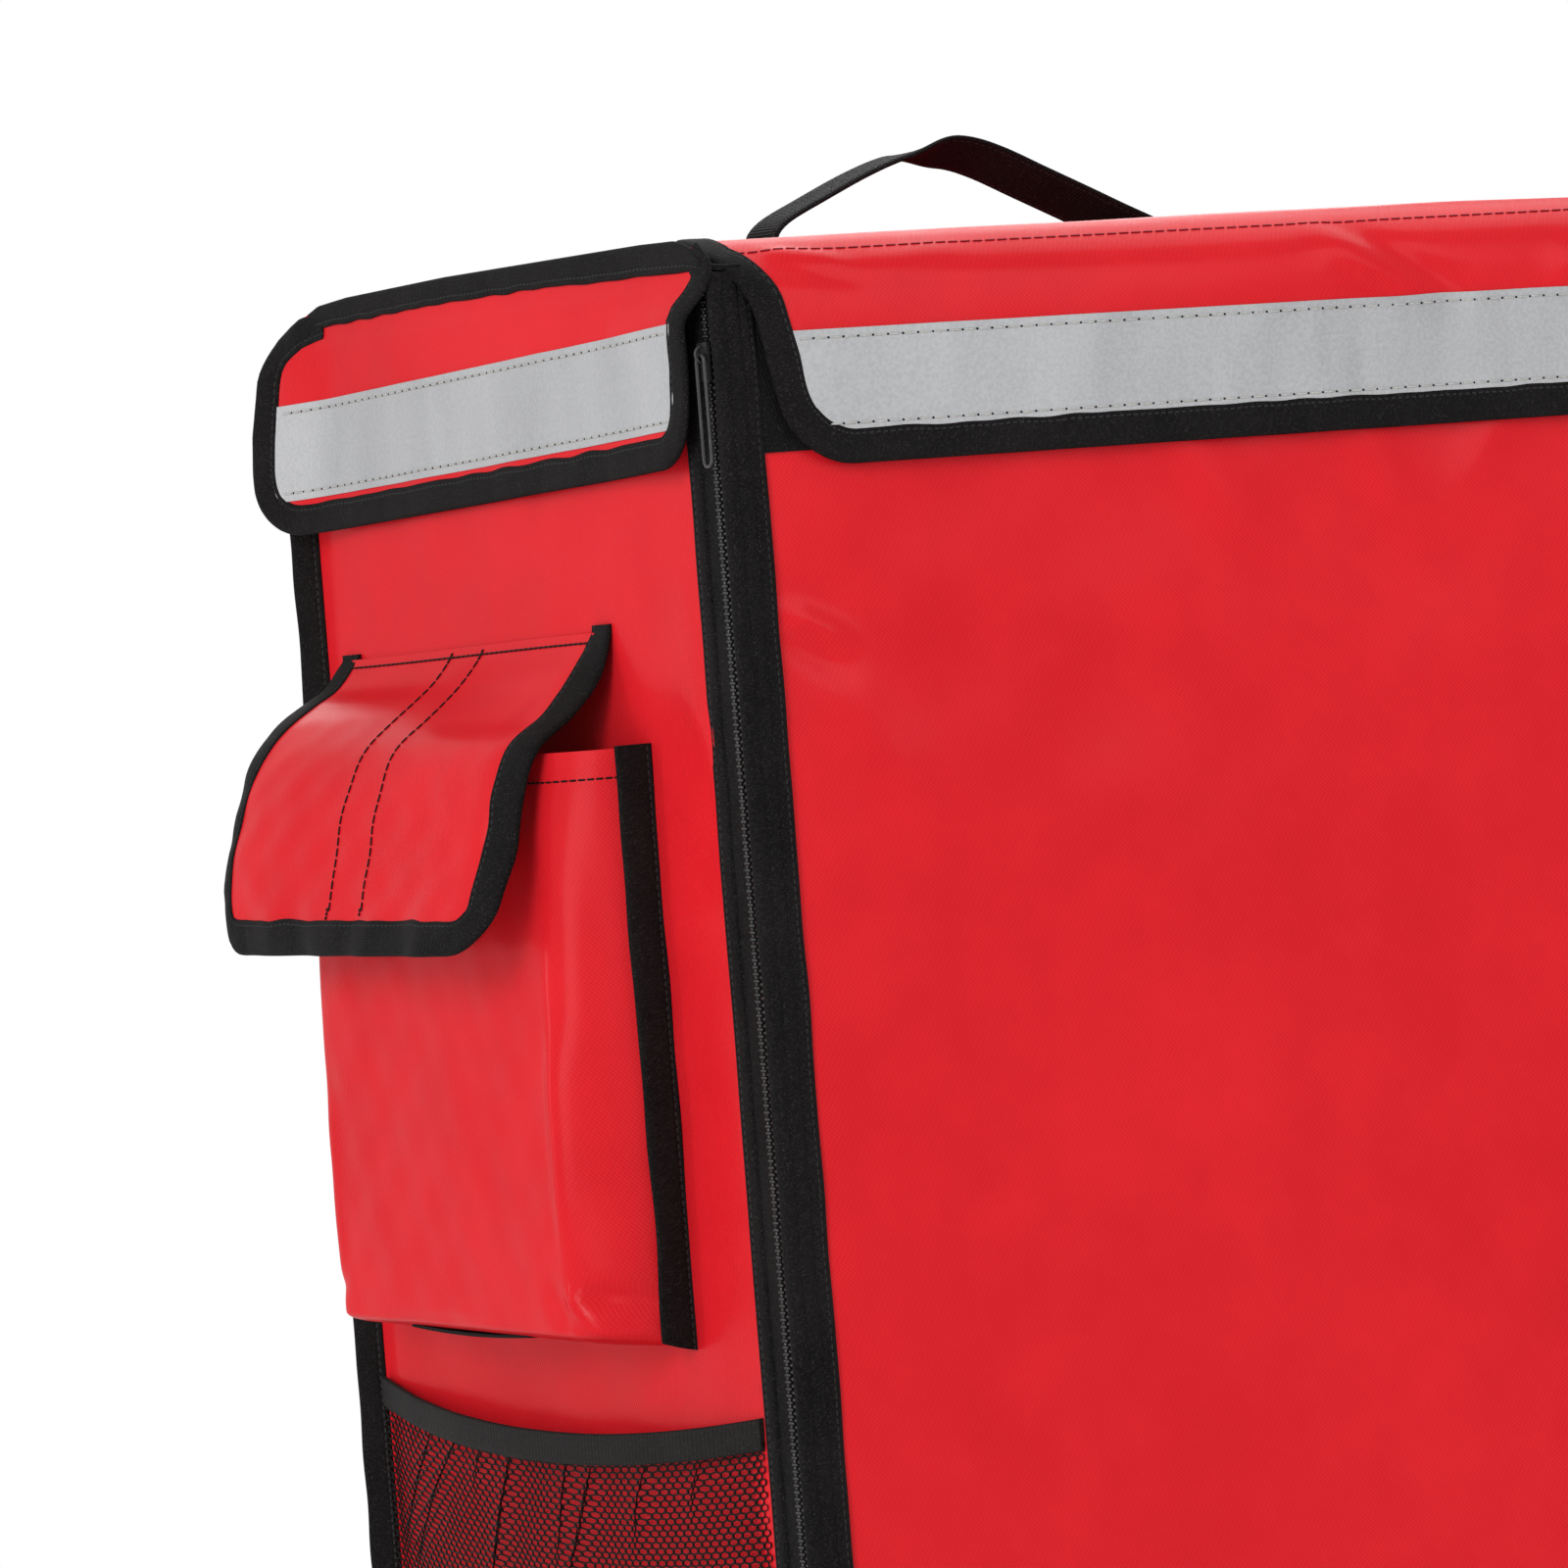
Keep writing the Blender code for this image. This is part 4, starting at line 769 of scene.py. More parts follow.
def shell_walls():
    finish_piece(side_wall(-1, 11), "shell", "red_tarpaulin", "left_panel")
    finish_piece(side_wall(1, 27), "shell", "red_tarpaulin", "right_panel")
    x, z = grid(-0.2048, 0.2048, 100, 0.0015, RIM, 140)
    swell = np.maximum(0.0006 * (1 + waves(x, z, 0.15, 41)), 0) * smoothstep(-np.abs(x), -0.205, -0.185)
    points = np.stack([x, 0.1769 + np.minimum(swell, 0.0006), z], axis=-1)
    back = cloth("back_wall_cloth", points[::-1], 0.0012, RED, x[::-1], z[::-1])
    finish_piece(back, "shell", "red_tarpaulin", "back_panel")
    x, y = grid(-0.2045, 0.2045, 70, -0.177, 0.177, 60)
    points = np.stack([x, y, 0.0007 + 0.0003 * waves(x, y, 0.10, 51)], axis=-1)
    finish_piece(cloth("base_cloth", points, 0.0010, RED, x, y), "shell", "red_tarpaulin", "base_panel")
    for name, low, high, seed in (
            ("left_board", (-0.2018, -0.1655, 0.0125), (-0.1958, 0.1670, 0.5980), 3),
            ("right_board", (0.1958, -0.1655, 0.0125), (0.2018, 0.1670, 0.5980), 4),
            ("back_board", (-0.2025, 0.1685, 0.0125), (0.2025, 0.1750, 0.5980), 5)):
        board = slab(name + "_foam", low, high, FOAM, seed=seed)
        finish_piece(board, "shell", "insulation_foam", name)
    base = slab("base_board_foam", (-0.2025, -0.1760, 0.0019), (0.2025, 0.1750, 0.0110), STIFFENER, seed=6)
    finish_piece(base, "shell", "base_stiffener", "base_board")


def foil_tub():
    """The folded film tub: a floor and three walls that run into each other with soft corners."""
    route = spline([(-0.1948, -0.1660), (-0.1948, 0.0), (-0.1948, 0.150), (-0.1935, 0.1625), (-0.183, 0.1672),
                    (0.0, 0.1673), (0.183, 0.1672), (0.1935, 0.1625), (0.1948, 0.150), (0.1948, 0.0),
                    (0.1948, -0.1660)], 12)
    route = resample(route, 0.006)
    tangent = unit(np.gradient(route, axis=0))
    inward = np.stack([tangent[:, 1], -tangent[:, 0]], axis=1)
    distance = lengths(route)
    z = np.linspace(0.0122, RIM, 90)
    d, zz = np.meshgrid(distance, z, indexing="ij")
    crease = 0.0006 * np.abs(waves(d, zz, 0.07, 61)) + 0.0004 * np.abs(waves(d, zz, 0.025, 62))
    points = np.zeros(d.shape + (3,))
    points[..., :2] = route[:, None, :] + inward[:, None, :] * crease[..., None]
    points[..., 2] = zz
    walls = cloth("foil_walls", points, 0.0006, FOIL, d, zz)
    finish_piece(walls, "shell", "foil_lining", "foil_lining")
    x, y = grid(-0.1948, 0.1948, 80, -0.1662, 0.1673, 70)
    points = np.stack([x, y, 0.0123 + 0.0007 * np.abs(waves(x, y, 0.08, 63))], axis=-1)
    floor = cloth("foil_floor", points, 0.0006, FOIL, x, y)
    finish_piece(floor, "shell", "foil_lining")


def plan_sweep(name, profile, z, material, edge=None, drift=None):
    """Sweep a plan outline (x, y) up the z values. drift(z) moves each ring by (dx, dy)."""
    profile = np.asarray(profile, float)
    rings = np.zeros((len(z), len(profile), 3))
    rings[..., :2] = profile[None]
    rings[..., 2] = z[:, None]
    if drift is not None:
        rings[..., :2] += drift(z)[:, None, :]
    v = lengths(profile) if edge is None else np.asarray(edge)
    return tube(name, rings, uv_grid(z, v), material, closed_ring=True, sharp=50)


def back_fins():
    """Bound seams that stand out from the back corners."""
    for name, side, seed in (("left", -1, 71), ("right", 1, 72)):
        z = np.arange(0.0123, 0.5800, 0.0025)
        width = 0.0125
        ring, edge = tape_profile(width, 0.0030)
        out = np.array([side * math.sqrt(0.5), math.sqrt(0.5)])
        cross = np.array([out[1], -out[0]])
        root = np.array([side * 0.2044, 0.1769])
        wander = waves(z, 0, 0.030, seed) * 0.0007
        lean = waves(z, 0, 0.090, seed + 1) * 0.0016
        rings = np.zeros((len(z), len(ring), 3))
        reach = width - ring[:, 0]
        share = (reach / width) ** 1.5
        base = root + out * reach[:, None] + cross * ring[:, 1][:, None]
        rings[..., :2] = (base[None] + out * (wander[:, None] * share)[..., None]
                          + cross * (lean[:, None] * share)[..., None])
        rings[..., 2] = z[:, None]
        fin = tube("back_" + name + "_fin", rings, uv_grid(z, edge), BINDING)
        finish_piece(fin, "shell", "black_binding", "back_" + name + "_binding")


def base_tape():
    """Binding round the bottom seam."""
    half_x, half_y, radius = 0.2054, 0.1779, 0.0035
    corners = [(half_x, -half_y, -90), (half_x, half_y, 0), (-half_x, half_y, 90), (-half_x, -half_y, 180)]
    path = []
    for x, y, angle in corners:
        cx, cy = x - math.copysign(radius, x), y - math.copysign(radius, y)
        for step in range(7):
            turn = math.radians(angle + 90 * step / 6)
            path.append((cx + radius * math.cos(turn), cy + radius * math.sin(turn)))
    path.append(path[0])
    path = resample(path, 0.003)[:-1]
    tangent = unit(np.roll(path, -1, axis=0) - np.roll(path, 1, axis=0))
    out = np.stack([tangent[:, 1], -tangent[:, 0]], axis=1)
    distance = lengths(path)
    profile = np.array([(-0.0012, 0.0006), (-0.0006, 0.0), (0.0004, 0.0), (0.0011, 0.0010),
                        (0.0013, 0.0030), (0.0013, 0.0070), (0.0011, 0.0086), (0.0012, 0.0096),
                        (0.0012, 0.0108), (0.0008, 0.0118), (0.0002, 0.0121), (-0.0003, 0.0116)])
    edge = np.abs(0.0121 - profile[:, 1])
    wander = waves(distance, 0, 0.03, 81) * 0.0004
    rings = np.zeros((len(path), len(profile), 3))
    rings[..., :2] = path[:, None, :] + out[:, None, :] * profile[None, :, 0, None]
    rings[..., 2] = np.maximum(profile[None, :, 1] + wander[:, None] * (profile[None, :, 1] / 0.012) ** 2, 0)
    tape = tube("base_tape", rings, uv_grid(distance, edge), BINDING, closed_path=True)
    finish_piece(tape, "shell", "black_binding", "base_binding")


# Corner zips

def zip_halves(side):
    """Make the side band, the front wrap and both rows of coil of one corner zip."""
    name = "left" if side < 0 else "right"
    z = np.linspace(0.0126, RIM, 198)
    # The side half and the coil stop lower, so that the side flap's hinge folds over them
    top = 0.5948
    short = np.linspace(0.0126, top, 197)
    flip = lambda outline: [(side * x, y) for x, y in outline]

    def ripple(seed, size):
        return lambda z: np.stack([side * waves(z, 0, 0.045, seed) * size,
                                   waves(z, 0, 0.06, seed + 1) * size], axis=1)

    band = [(0.2050, -0.1493), (0.2064, -0.1494), (0.2074, -0.1502), (0.2076, -0.1520), (0.2073, -0.1528),
            (0.2077, -0.1538), (0.2079, -0.1555), (0.2077, -0.1578), (0.2072, -0.1590), (0.2064, -0.1594),
            (0.2063, -0.1625), (0.2064, -0.1660), (0.2063, -0.1690), (0.2060, -0.1704), (0.2052, -0.1708),
            (0.2050, -0.1690), (0.2050, -0.1600)]
    edge = [abs(abs(y) - 0.1495) for x, y in band]
    tape = plan_sweep(name + "_zip_band", flip(band), short, BINDING, edge, drift=ripple(91 + side, 0.00022))
    finish_piece(tape, "shell", "black_binding", name + "_zip_tape")

    wrap = [(0.2061, -0.1755), (0.2068, -0.1756), (0.2077, -0.1761), (0.2088, -0.1774), (0.2092, -0.1790),
            (0.2088, -0.1806), (0.2077, -0.1817), (0.2060, -0.1820), (0.2046, -0.1816), (0.2037, -0.1811),
            (0.2026, -0.1816), (0.2006, -0.1819), (0.1988, -0.1815), (0.1978, -0.1808), (0.1968, -0.1812),
            (0.1948, -0.1813), (0.1930, -0.1808), (0.1916, -0.1801), (0.1909, -0.1790), (0.1910, -0.1778),
            (0.1960, -0.1778), (0.2040, -0.1778), (0.2052, -0.1766), (0.2052, -0.1757)]
    edge = [0.0030 + abs(0.1955 - x) if x > 0.1955 else abs(x - 0.1909) for x, y in wrap]
    cover = plan_sweep(name + "_zip_wrap", flip(wrap), z, BINDING, edge, drift=ripple(95 + side, 0.00035))
    finish_piece(cover, "front_panel", "black_binding", "front_" + name + "_zip_tape")

    for body, sign, slot in (("shell", 1, 0.0), ("front_panel", -1, 0.5)):
        coil = Bits()
        pitch = 0.0025
        for number in range(int((top - 0.0140) / pitch)):
            height = 0.0138 + (number + slot) * pitch
            inner = (side * 0.20655, COIL_LINE + sign * 0.00035, height)
            outer = (side * 0.20665, COIL_LINE + sign * 0.0031, height + 0.0003)
            coil.capsule(inner, outer, 0.00070, sides=7)
            coil.capsule((side * 0.20672, COIL_LINE + sign * 0.0027, height - 0.0006),
                         (side * 0.20672, COIL_LINE + sign * 0.0027, height + 0.0009), 0.00092, sides=7)
        # The cord that runs through the coil and the tape's folded edge
        for low in np.arange(0.0135, top - 0.0040, 0.0200):
            high = min(low + 0.0202, top - 0.0005)
            coil.capsule((side * 0.2061, COIL_LINE + sign * 0.0030, low),
                         (side * 0.2061, COIL_LINE + sign * 0.0030, high), 0.00075, sides=6)
        finish_piece(coil.build(name + "_coil_" + body, COIL), body, "zip_metal")
        flat = [(0.2052, COIL_LINE + sign * 0.00025), (0.2059, COIL_LINE + sign * 0.00025),
                (0.2060, COIL_LINE + sign * 0.0020), (0.2060, COIL_LINE + sign * 0.0038),
                (0.2052, COIL_LINE + sign * 0.0038)]
        under = plan_sweep(name + "_coil_tape_" + body, flip(flat), short, TAPE)
        finish_piece(under, body, "black_binding")


# Front panel

def front_swell(x, z):
    """How far the front cloth stands out from the board."""
    out = 0.0006 + 0.0011 * (1 + waves(x, z, 0.22, 103)) + 0.0005 * waves(x, z, 0.07, 107)
    near_top = smoothstep(z, 0.43, 0.52)
    out = with_ridges(out, x, z, (
        (0.0016 * near_top, (-0.03, 0.545), (0.03, 0.470), 0.012),
        (0.0014 * near_top, (0.055, 0.540), (0.085, 0.485), 0.010),
        (0.0012 * near_top, (0.13, 0.540), (0.10, 0.490), 0.009),
        (0.0022, (-0.190, 0.476), (-0.160, 0.462), 0.0045),
        (-0.0016, (-0.188, 0.468), (-0.163, 0.452), 0.0050),
        (0.0014, (-0.17, 0.455), (-0.135, 0.400), 0.012),
        (0.0020, (-0.06, 0.40), (0.10, 0.26), 0.035),
        (0.0015, (0.05, 0.15), (0.17, 0.27), 0.030)))
    edge = (smoothstep(-np.abs(x), -0.205, -0.178) * smoothstep(z, 0.0126, 0.035)
            * smoothstep(-z, -0.5989, -0.580))
    return np.clip(out, -0.0002, 0.006) * edge


def front_side():
    x, z = grid(-0.2050, 0.2050, 190, 0.0127, RIM, 230)
    y = -0.1769 - front_swell(x, z)
    points = np.stack([x, y, z], axis=-1)
    front = cloth("front_cloth", points, 0.0012, RED, x, z)
    finish_piece(front, "front_panel", "red_tarpaulin", "front_panel")
    board = slab("front_board_foam", (-0.2030, -0.1757, 0.0130), (0.2030, -0.1683, 0.5985), FOAM, seed=8)
    finish_piece(board, "front_panel", "insulation_foam", "front_board")
    x, z = grid(-0.2030, 0.2030, 90, 0.0130, 0.5985, 100)
    y = -0.1676 + 0.0004 * np.abs(waves(x, z, 0.06, 111))
    points = np.stack([x, np.minimum(y, -0.16715), z], axis=-1)
    lining = cloth("front_foil", points[::-1], 0.0005, FOIL, x[::-1], z[::-1])
    finish_piece(lining, "front_panel", "foil_lining", "front_lining")
    x, z = grid(-0.1915, 0.1915, 120, 0.533, 0.581, 20)
    y = np.minimum(-0.1769 - front_swell(x, z) - 0.0013, -0.1786)
    points = np.stack([x, np.maximum(y, -0.1797), z], axis=-1)
    loops = cloth("front_loops", points, 0.0011, LOOPS, x, z)
    finish_piece(loops, "front_panel", "black_binding", "front_loop_strip")


# Flaps

# Radius of the lower corners of the front and side flaps
CORNER = 0.022
# Height where the side flaps begin, and how far they hang down
SIDE_TOP = 0.5977
SIDE_LENGTH = 0.0707
SIDE_BIND_WIDTH = 0.0122
FRONT_BIND_WIDTH = 0.0130
# How far a reflective strip reaches under the binding beside it
STRIP_LAP = 0.0028


def flap_outline(front, back, length, radius, start=0.0):
    """Return the route of a flap's free edge in (a, b): down one side, along the bottom, up the other.

    front and back give the sides' places as functions of b.
    """
    steps = 9
    bottom = length - radius
    sides = []
    for line, sign in ((front, 1), (back, -1)):
        side = [(line(b), b) for b in np.linspace(start, bottom, 26)]
        for step in range(1, steps):
            turn = math.pi / 2 * step / steps
            shift = radius * (1 - math.cos(turn))
            b = bottom + radius * math.sin(turn)
            side.append((line(b) + sign * shift, b))
        side.append((line(length) + sign * radius, length))
        sides.append(side)
    return np.array(sides[0] + sides[1][::-1])


def flap_grid(front, back, length, radius, columns, rows, start=0.0):
    """Return the (a, b) grid of a flap's sheet, whose edge lies a little inside the outline."""
    cover = 0.003
    b = np.concatenate([np.linspace(start, length - radius, rows, endpoint=False),
                        length - radius + (radius - cover) * np.sin(np.linspace(0, math.pi / 2, rows // 2))])
    inner = radius - cover
    over = np.clip((b - (length - radius)) / inner, 0, 1)
    shift = cover + inner * (1 - np.sqrt(np.maximum(1 - over ** 2, 0)))
    low = np.array([front(value) for value in b]) + shift
    high = np.array([back(value) for value in b]) - shift
    share = np.linspace(0, 1, columns)[:, None]
    return low[None] + (high - low)[None] * share, np.broadcast_to(b[None], (columns, len(b)))


def tape_edge(line, length, bind_width, sign):
    """Return the place of a strip's end at b, just under the tape along one side of a flap."""
    width = bind_width - STRIP_LAP
    inner = CORNER - width

    def edge(b):
        over = min(max(b - (length - CORNER), 0.0), inner * 0.999)
        return line(b) + sign * (width + inner - math.sqrt(inner * inner - over * over))
    return edge


def finish_hinged(obj, slot, bodies, place, *nodes):
    """Hide the nodes that a piece replaces, and bake the piece's place into its mesh."""
    if nodes:
        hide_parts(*nodes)
    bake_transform(obj)


def side_front(b):
    # Below b 0.020 the edge stays behind the zip puller, which swings out past it
    return float(np.interp(b, (-0.0125, -0.0062, 0, 0.0070, 0.0140, 0.0205, 0.0410, 0.0707),
                           (-0.1720, -0.1805, -0.1822, -0.1790, -0.1730, -0.1674, -0.1672, -0.1660)))


def side_back(b):
    depths = (-0.0125, -0.0118, -0.0080, -0.0038, 0.0020, 0.0087, 0.0180, 0.0292, 0.0437, 0.0600, 0.0707)
    places = (0.1480, 0.1600, 0.1700, 0.1775, 0.1825, 0.1855, 0.1882, 0.1900, 0.1908, 0.1900, 0.1890)
    return float(np.interp(b, depths, places))


def side_surface(side):
    def surface(a, b):
        drop = smoothstep(b, -0.002, 0.020)
        lean = 0.0045 * smoothstep(-a, 0.090, 0.160) * smoothstep(b, 0.0, 0.020)
        flare = 0.0145 * np.clip((a - 0.130) / 0.060, 0, 1.3) ** 2 * smoothstep(b, -0.012, 0.012)
        sway = 0.0010 * waves(a, b, 0.11, 121 + side) * drop + 0.0005 * waves(a, b, 0.035, 125 + side) * drop
        stand = 0.0010 * smoothstep(b, 0.02, 0.07)
        # The back end comes out from behind the lid's tape and hangs lower than the front
        out = 0.0028 * smoothstep(a, 0.152, 0.166) * (1 - smoothstep(b, -0.004, 0.004))
        out = 0.2083 + 0.0015 * smoothstep(b, -0.004, 0.004) + out
        x = out + np.maximum(lean + flare + stand + sway, 0.0)
        sag = np.interp(a, (-0.170, 0.185), (-0.0036, 0.0055)) * smoothstep(b, 0.0, 0.020)
        z = SIDE_TOP - b - sag
        return np.stack([side * x, a + 0 * b, z + 0 * a], axis=-1)
    return surface


def side_flap(side):
    name = "left" if side < 0 else "right"
    surface = side_surface(side)
    place = dict(start=(side * 0.2098, 0, 0.6038), end=(side * 0.2098, 0, 0.5945))
    bodies = ("lid", name + "_flap")
    a, b = flap_grid(side_front, side_back, SIDE_LENGTH, CORNER, 120, 34, start=-0.0110)
    sheet = cloth(name + "_flap_cloth", surface(a, b), 0.0015, RED, a, -b)
    finish_hinged(sheet, "red_tarpaulin", bodies, place, name + "_flap")
    route = flap_outline(side_front, side_back, SIDE_LENGTH, CORNER, start=-0.0125)
    tape = edge_tape(name + "_flap_tape", surface, route, SIDE_BIND_WIDTH, 0.0032, 131 + side)
    finish_hinged(tape, "black_binding", bodies, place, name + "_flap_binding")
    low = tape_edge(side_front, SIDE_LENGTH, SIDE_BIND_WIDTH, 1)
    high = tape_edge(side_back, SIDE_LENGTH, SIDE_BIND_WIDTH, -1)
    reflective_band(name + "_flap", surface, low, high, 0.0187, 0.0567, side)


def reflective_band(name, surface, low, high, top, bottom, side):
    """Make a strip on a flap's outer face, its two rows of pale stitches, and black dots of painted shade at
    their needle holes.
    """
    outward = np.array([side, 0, 0]) if side else np.array([0, -1.0, 0])

    def facing(a, b):
        normal = surface_normal(surface, a, b, 0.0008)
        return np.where((normal @ outward)[..., None] < 0, -normal, normal)

    rows = np.linspace(top, bottom, 16)
    left = np.array([low(value) for value in rows])
    right = np.array([high(value) for value in rows])
    a = left[None] + (right - left)[None] * np.linspace(0, 1, 180)[:, None]
    b = np.broadcast_to(rows[None], a.shape)
    share = (b - top) / (bottom - top)
    ripple = 0.00040 * waves(a, b * 0.15, 0.022, 141 + int(side)) * np.sin(np.pi * share)
    points = surface(a, b) + facing(a, b) * (0.00105 + np.maximum(ripple, -0.0001))[..., None]
    strip = cloth(name + "_reflector", points, 0.0005, SILVER, a, b)
    threads, holes = Bits(), Bits()
    pitch = 0.0062
    for row in (top + 0.0031, bottom - 0.0031):
        line_a = np.linspace(low(row) + 0.0040, high(row) - 0.0040, 300)
        line_b = np.full_like(line_a, row)
        face = facing(line_a, line_b)
        path = surface(line_a, line_b) + face * 0.00132
        threads.stitches(path, face, pitch=pitch, share=0.78, radius=0.00042)
        distance = lengths(path)
        # Black dots between the stitches are painted shade: they stand in for the shadow inside the needle
        # holes
        for number in range(1, int(distance[-1] / pitch)):
            at = np.array([np.interp(number * pitch, distance, path[:, k]) for k in range(3)])
            up = np.array([np.interp(number * pitch, distance, face[:, k]) for k in range(3)])
            across = np.array([0, 0, 0.00045])
            holes.capsule(at - across, at + across, 0.00050, up=up, flat=0.5)
    threads = threads.build(name + "_reflector_stitches", PALE_THREAD)
    holes = holes.build(name + "_reflector_holes", BLACK_THREAD)
    finish_piece(strip, name, "reflective_strip", name + "_strip")
    finish_piece(threads, name, "reflective_strip")
    finish_piece(holes, name, "black_binding")
    return [strip, threads, holes]


# Lid top and front flap, one sheet over the rounded front edge

# Profile of the cover in (y, z), from the back over the top to the flap's lower edge
LID_ROUTE = spline([(0.1778, 0.6090), (0.1740, 0.6100), (0.150, 0.6108), (0.080, 0.6120), (0.0, 0.6126),
                    (-0.080, 0.6125), (-0.130, 0.6122), (-0.1560, 0.6112), (-0.1655, 0.6089),
                    (-0.1730, 0.6053), (-0.1785, 0.6011), (-0.1819, 0.5962), (-0.1834, 0.5905),
                    (-0.1837, 0.5830), (-0.1833, 0.5650), (-0.1832, 0.5450), (-0.1838, 0.5270)], 16)
LID_DISTANCE = lengths(LID_ROUTE)
LID_LENGTH = LID_DISTANCE[-1]
LID_TANGENT = unit(np.gradient(LID_ROUTE, LID_DISTANCE, axis=0))
TOP_COUNT = int(np.argmax(LID_ROUTE[:, 0] < -0.1770))


def top_place(y):
    """Distance along the lid's cover at a place on its top."""
    return np.interp(-np.asarray(y, float), -LID_ROUTE[:TOP_COUNT, 0], LID_DISTANCE[:TOP_COUNT])


def drop_place(z):
    """Distance along the lid's cover at a height on the front flap or its roll."""
    low = int(np.argmax(LID_ROUTE[:, 0] < -0.1650))
    return np.interp(-np.asarray(z, float), -LID_ROUTE[low:, 1], LID_DISTANCE[low:])


ROLL_START = float(top_place(-0.1650))
FLAP_START = float(drop_place(0.6000))


def lid_height(x, s):
    """How far the lid's cloth stands off its smooth profile."""
    top = 1 - smoothstep(s, ROLL_START - 0.02, ROLL_START + 0.004)
    flap = smoothstep(s, ROLL_START + 0.014, ROLL_START + 0.034)
    out = top * (0.0006 * waves(x, s, 0.14, 151) - 0.0012 * smoothstep(np.abs(x), 0.12, 0.205))
    out = out - 0.0075 * smoothstep(np.abs(x), 0.165, 0.208) * (1 - smoothstep(s, 0.0, 0.040))
    low = smoothstep(s, FLAP_START, LID_LENGTH)
    out = out + flap * (0.0011 * waves(x, s, 0.12, 157) + 0.0006 * waves(x, s * 0.3, 0.035, 158) * low)
    roll = ROLL_START
    crease = with_ridges(0.0, x, s, (
        (0.0020, (0.045, roll + 0.016), (0.100, roll + 0.048), 0.007),
        (-0.0016, (0.060, roll + 0.014), (0.110, roll + 0.042), 0.006),
        (0.0018, (0.180, roll + 0.012), (0.150, roll + 0.042), 0.007),
        (-0.0012, (-0.188, roll + 0.018), (-0.140, roll + 0.026), 0.0050),
        (0.0014, (-0.184, roll + 0.010), (-0.150, roll + 0.019), 0.0045),
        (0.0008, (-0.150, roll + 0.019), (-0.100, roll + 0.014), 0.005)))
    return out + crease


def lid_surface(x, s):
    y = np.interp(s, LID_DISTANCE, LID_ROUTE[:, 0])
    z = np.interp(s, LID_DISTANCE, LID_ROUTE[:, 1])
    over = np.maximum(s - LID_LENGTH, 0)
    ty = np.interp(s, LID_DISTANCE, LID_TANGENT[:, 0])
    tz = np.interp(s, LID_DISTANCE, LID_TANGENT[:, 1])
    height = lid_height(x, s)
    y = y + ty * over + tz * height
    z = z + tz * over - ty * height
    return np.stack([x + 0 * s, y + 0 * x, z + 0 * x], axis=-1)


def lid_half(s):
    """Half width of the lid's cover at distance s, to the outer edge of its binding."""
    heights = (0.6085, 0.6042, 0.5997, 0.5941, 0.5853, 0.5739, 0.5612, 0.5440, 0.5270)
    places = [float(drop_place(z)) for z in heights]
    return float(np.interp(s, [ROLL_START - 0.006] + places,
                           (0.2086, 0.2086, 0.2078, 0.2035, 0.1992, 0.1943, 0.1915, 0.1890, 0.1850, 0.1800)))


def front_left(b):
    return -lid_half(ROLL_START + b)


def front_right(b):
    return lid_half(ROLL_START + b)


def lid_cover():
    length = LID_LENGTH - ROLL_START
    a, b = flap_grid(front_left, front_right, length, CORNER, 200, 44)
    s_top = np.linspace(0, ROLL_START, 90, endpoint=False)
    share = np.linspace(0, 1, 200)[:, None]
    half = np.array([lid_half(value) for value in s_top]) - 0.0005
    half = half - 0.0020 * (1 - smoothstep(s_top, 0, 0.030))
    a_top = -half[None] + 2 * half[None] * share
    join = smoothstep(s_top, ROLL_START - 0.03, ROLL_START)
    a_top = a_top * (1 - join * 0.0025 / half)[None]
    x = np.concatenate([a_top, a], axis=1)
    s = np.concatenate([np.broadcast_to(s_top[None], a_top.shape), b + ROLL_START], axis=1)
    place = dict(start=(0, -0.1770, 0.6078), end=(0, -0.1835, 0.5950))
    bodies = ("lid", "front_flap")
    cover = cloth("lid_cover", lid_surface(x, s), 0.0013, RED, x, -s)
    finish_hinged(cover, "red_tarpaulin", bodies, place, "lid_panel", "front_flap")
    surface = lambda a, b: lid_surface(a, b + ROLL_START)
    route = flap_outline(front_left, front_right, length, CORNER, start=-0.010)
    tape = edge_tape("front_flap_tape", surface, route, FRONT_BIND_WIDTH, 0.0034, 161)
    finish_hinged(tape, "black_binding", bodies, place, "front_flap_binding")
    top = float(drop_place(0.5760)) - ROLL_START
    low = tape_edge(front_left, length, FRONT_BIND_WIDTH, 1)
    high = tape_edge(front_right, length, FRONT_BIND_WIDTH, -1)
    band = reflective_band("front_flap", surface, low, high, top, top + 0.0375, 0)
    line = Bits()
    x = np.linspace(-0.195, 0.195, 400)
    s = np.full_like(x, float(drop_place(0.6048)))
    face = surface_normal(lid_surface, x, s, 0.0008)
    if face[0] @ np.array([0, -1, 1]) < 0:
        face = -face
    line.stitches(lid_surface(x, s) + face * 0.0007, face, pitch=0.0052, share=0.80, radius=0.00040)
    seam = line.build("lid_front_seam", RED_THREAD)
    finish_hinged(seam, "red_tarpaulin", bodies, place)
    x, b = grid(-0.150, 0.150, 120, top + 0.007, top + 0.031, 12)
    points = surface(x, b)
    points[..., 1] += 0.0017
    hooks = cloth("front_hooks", points, 0.0011, LOOPS, x, b)
    finish_piece(hooks, "front_flap", "black_binding", "front_hook_strip")


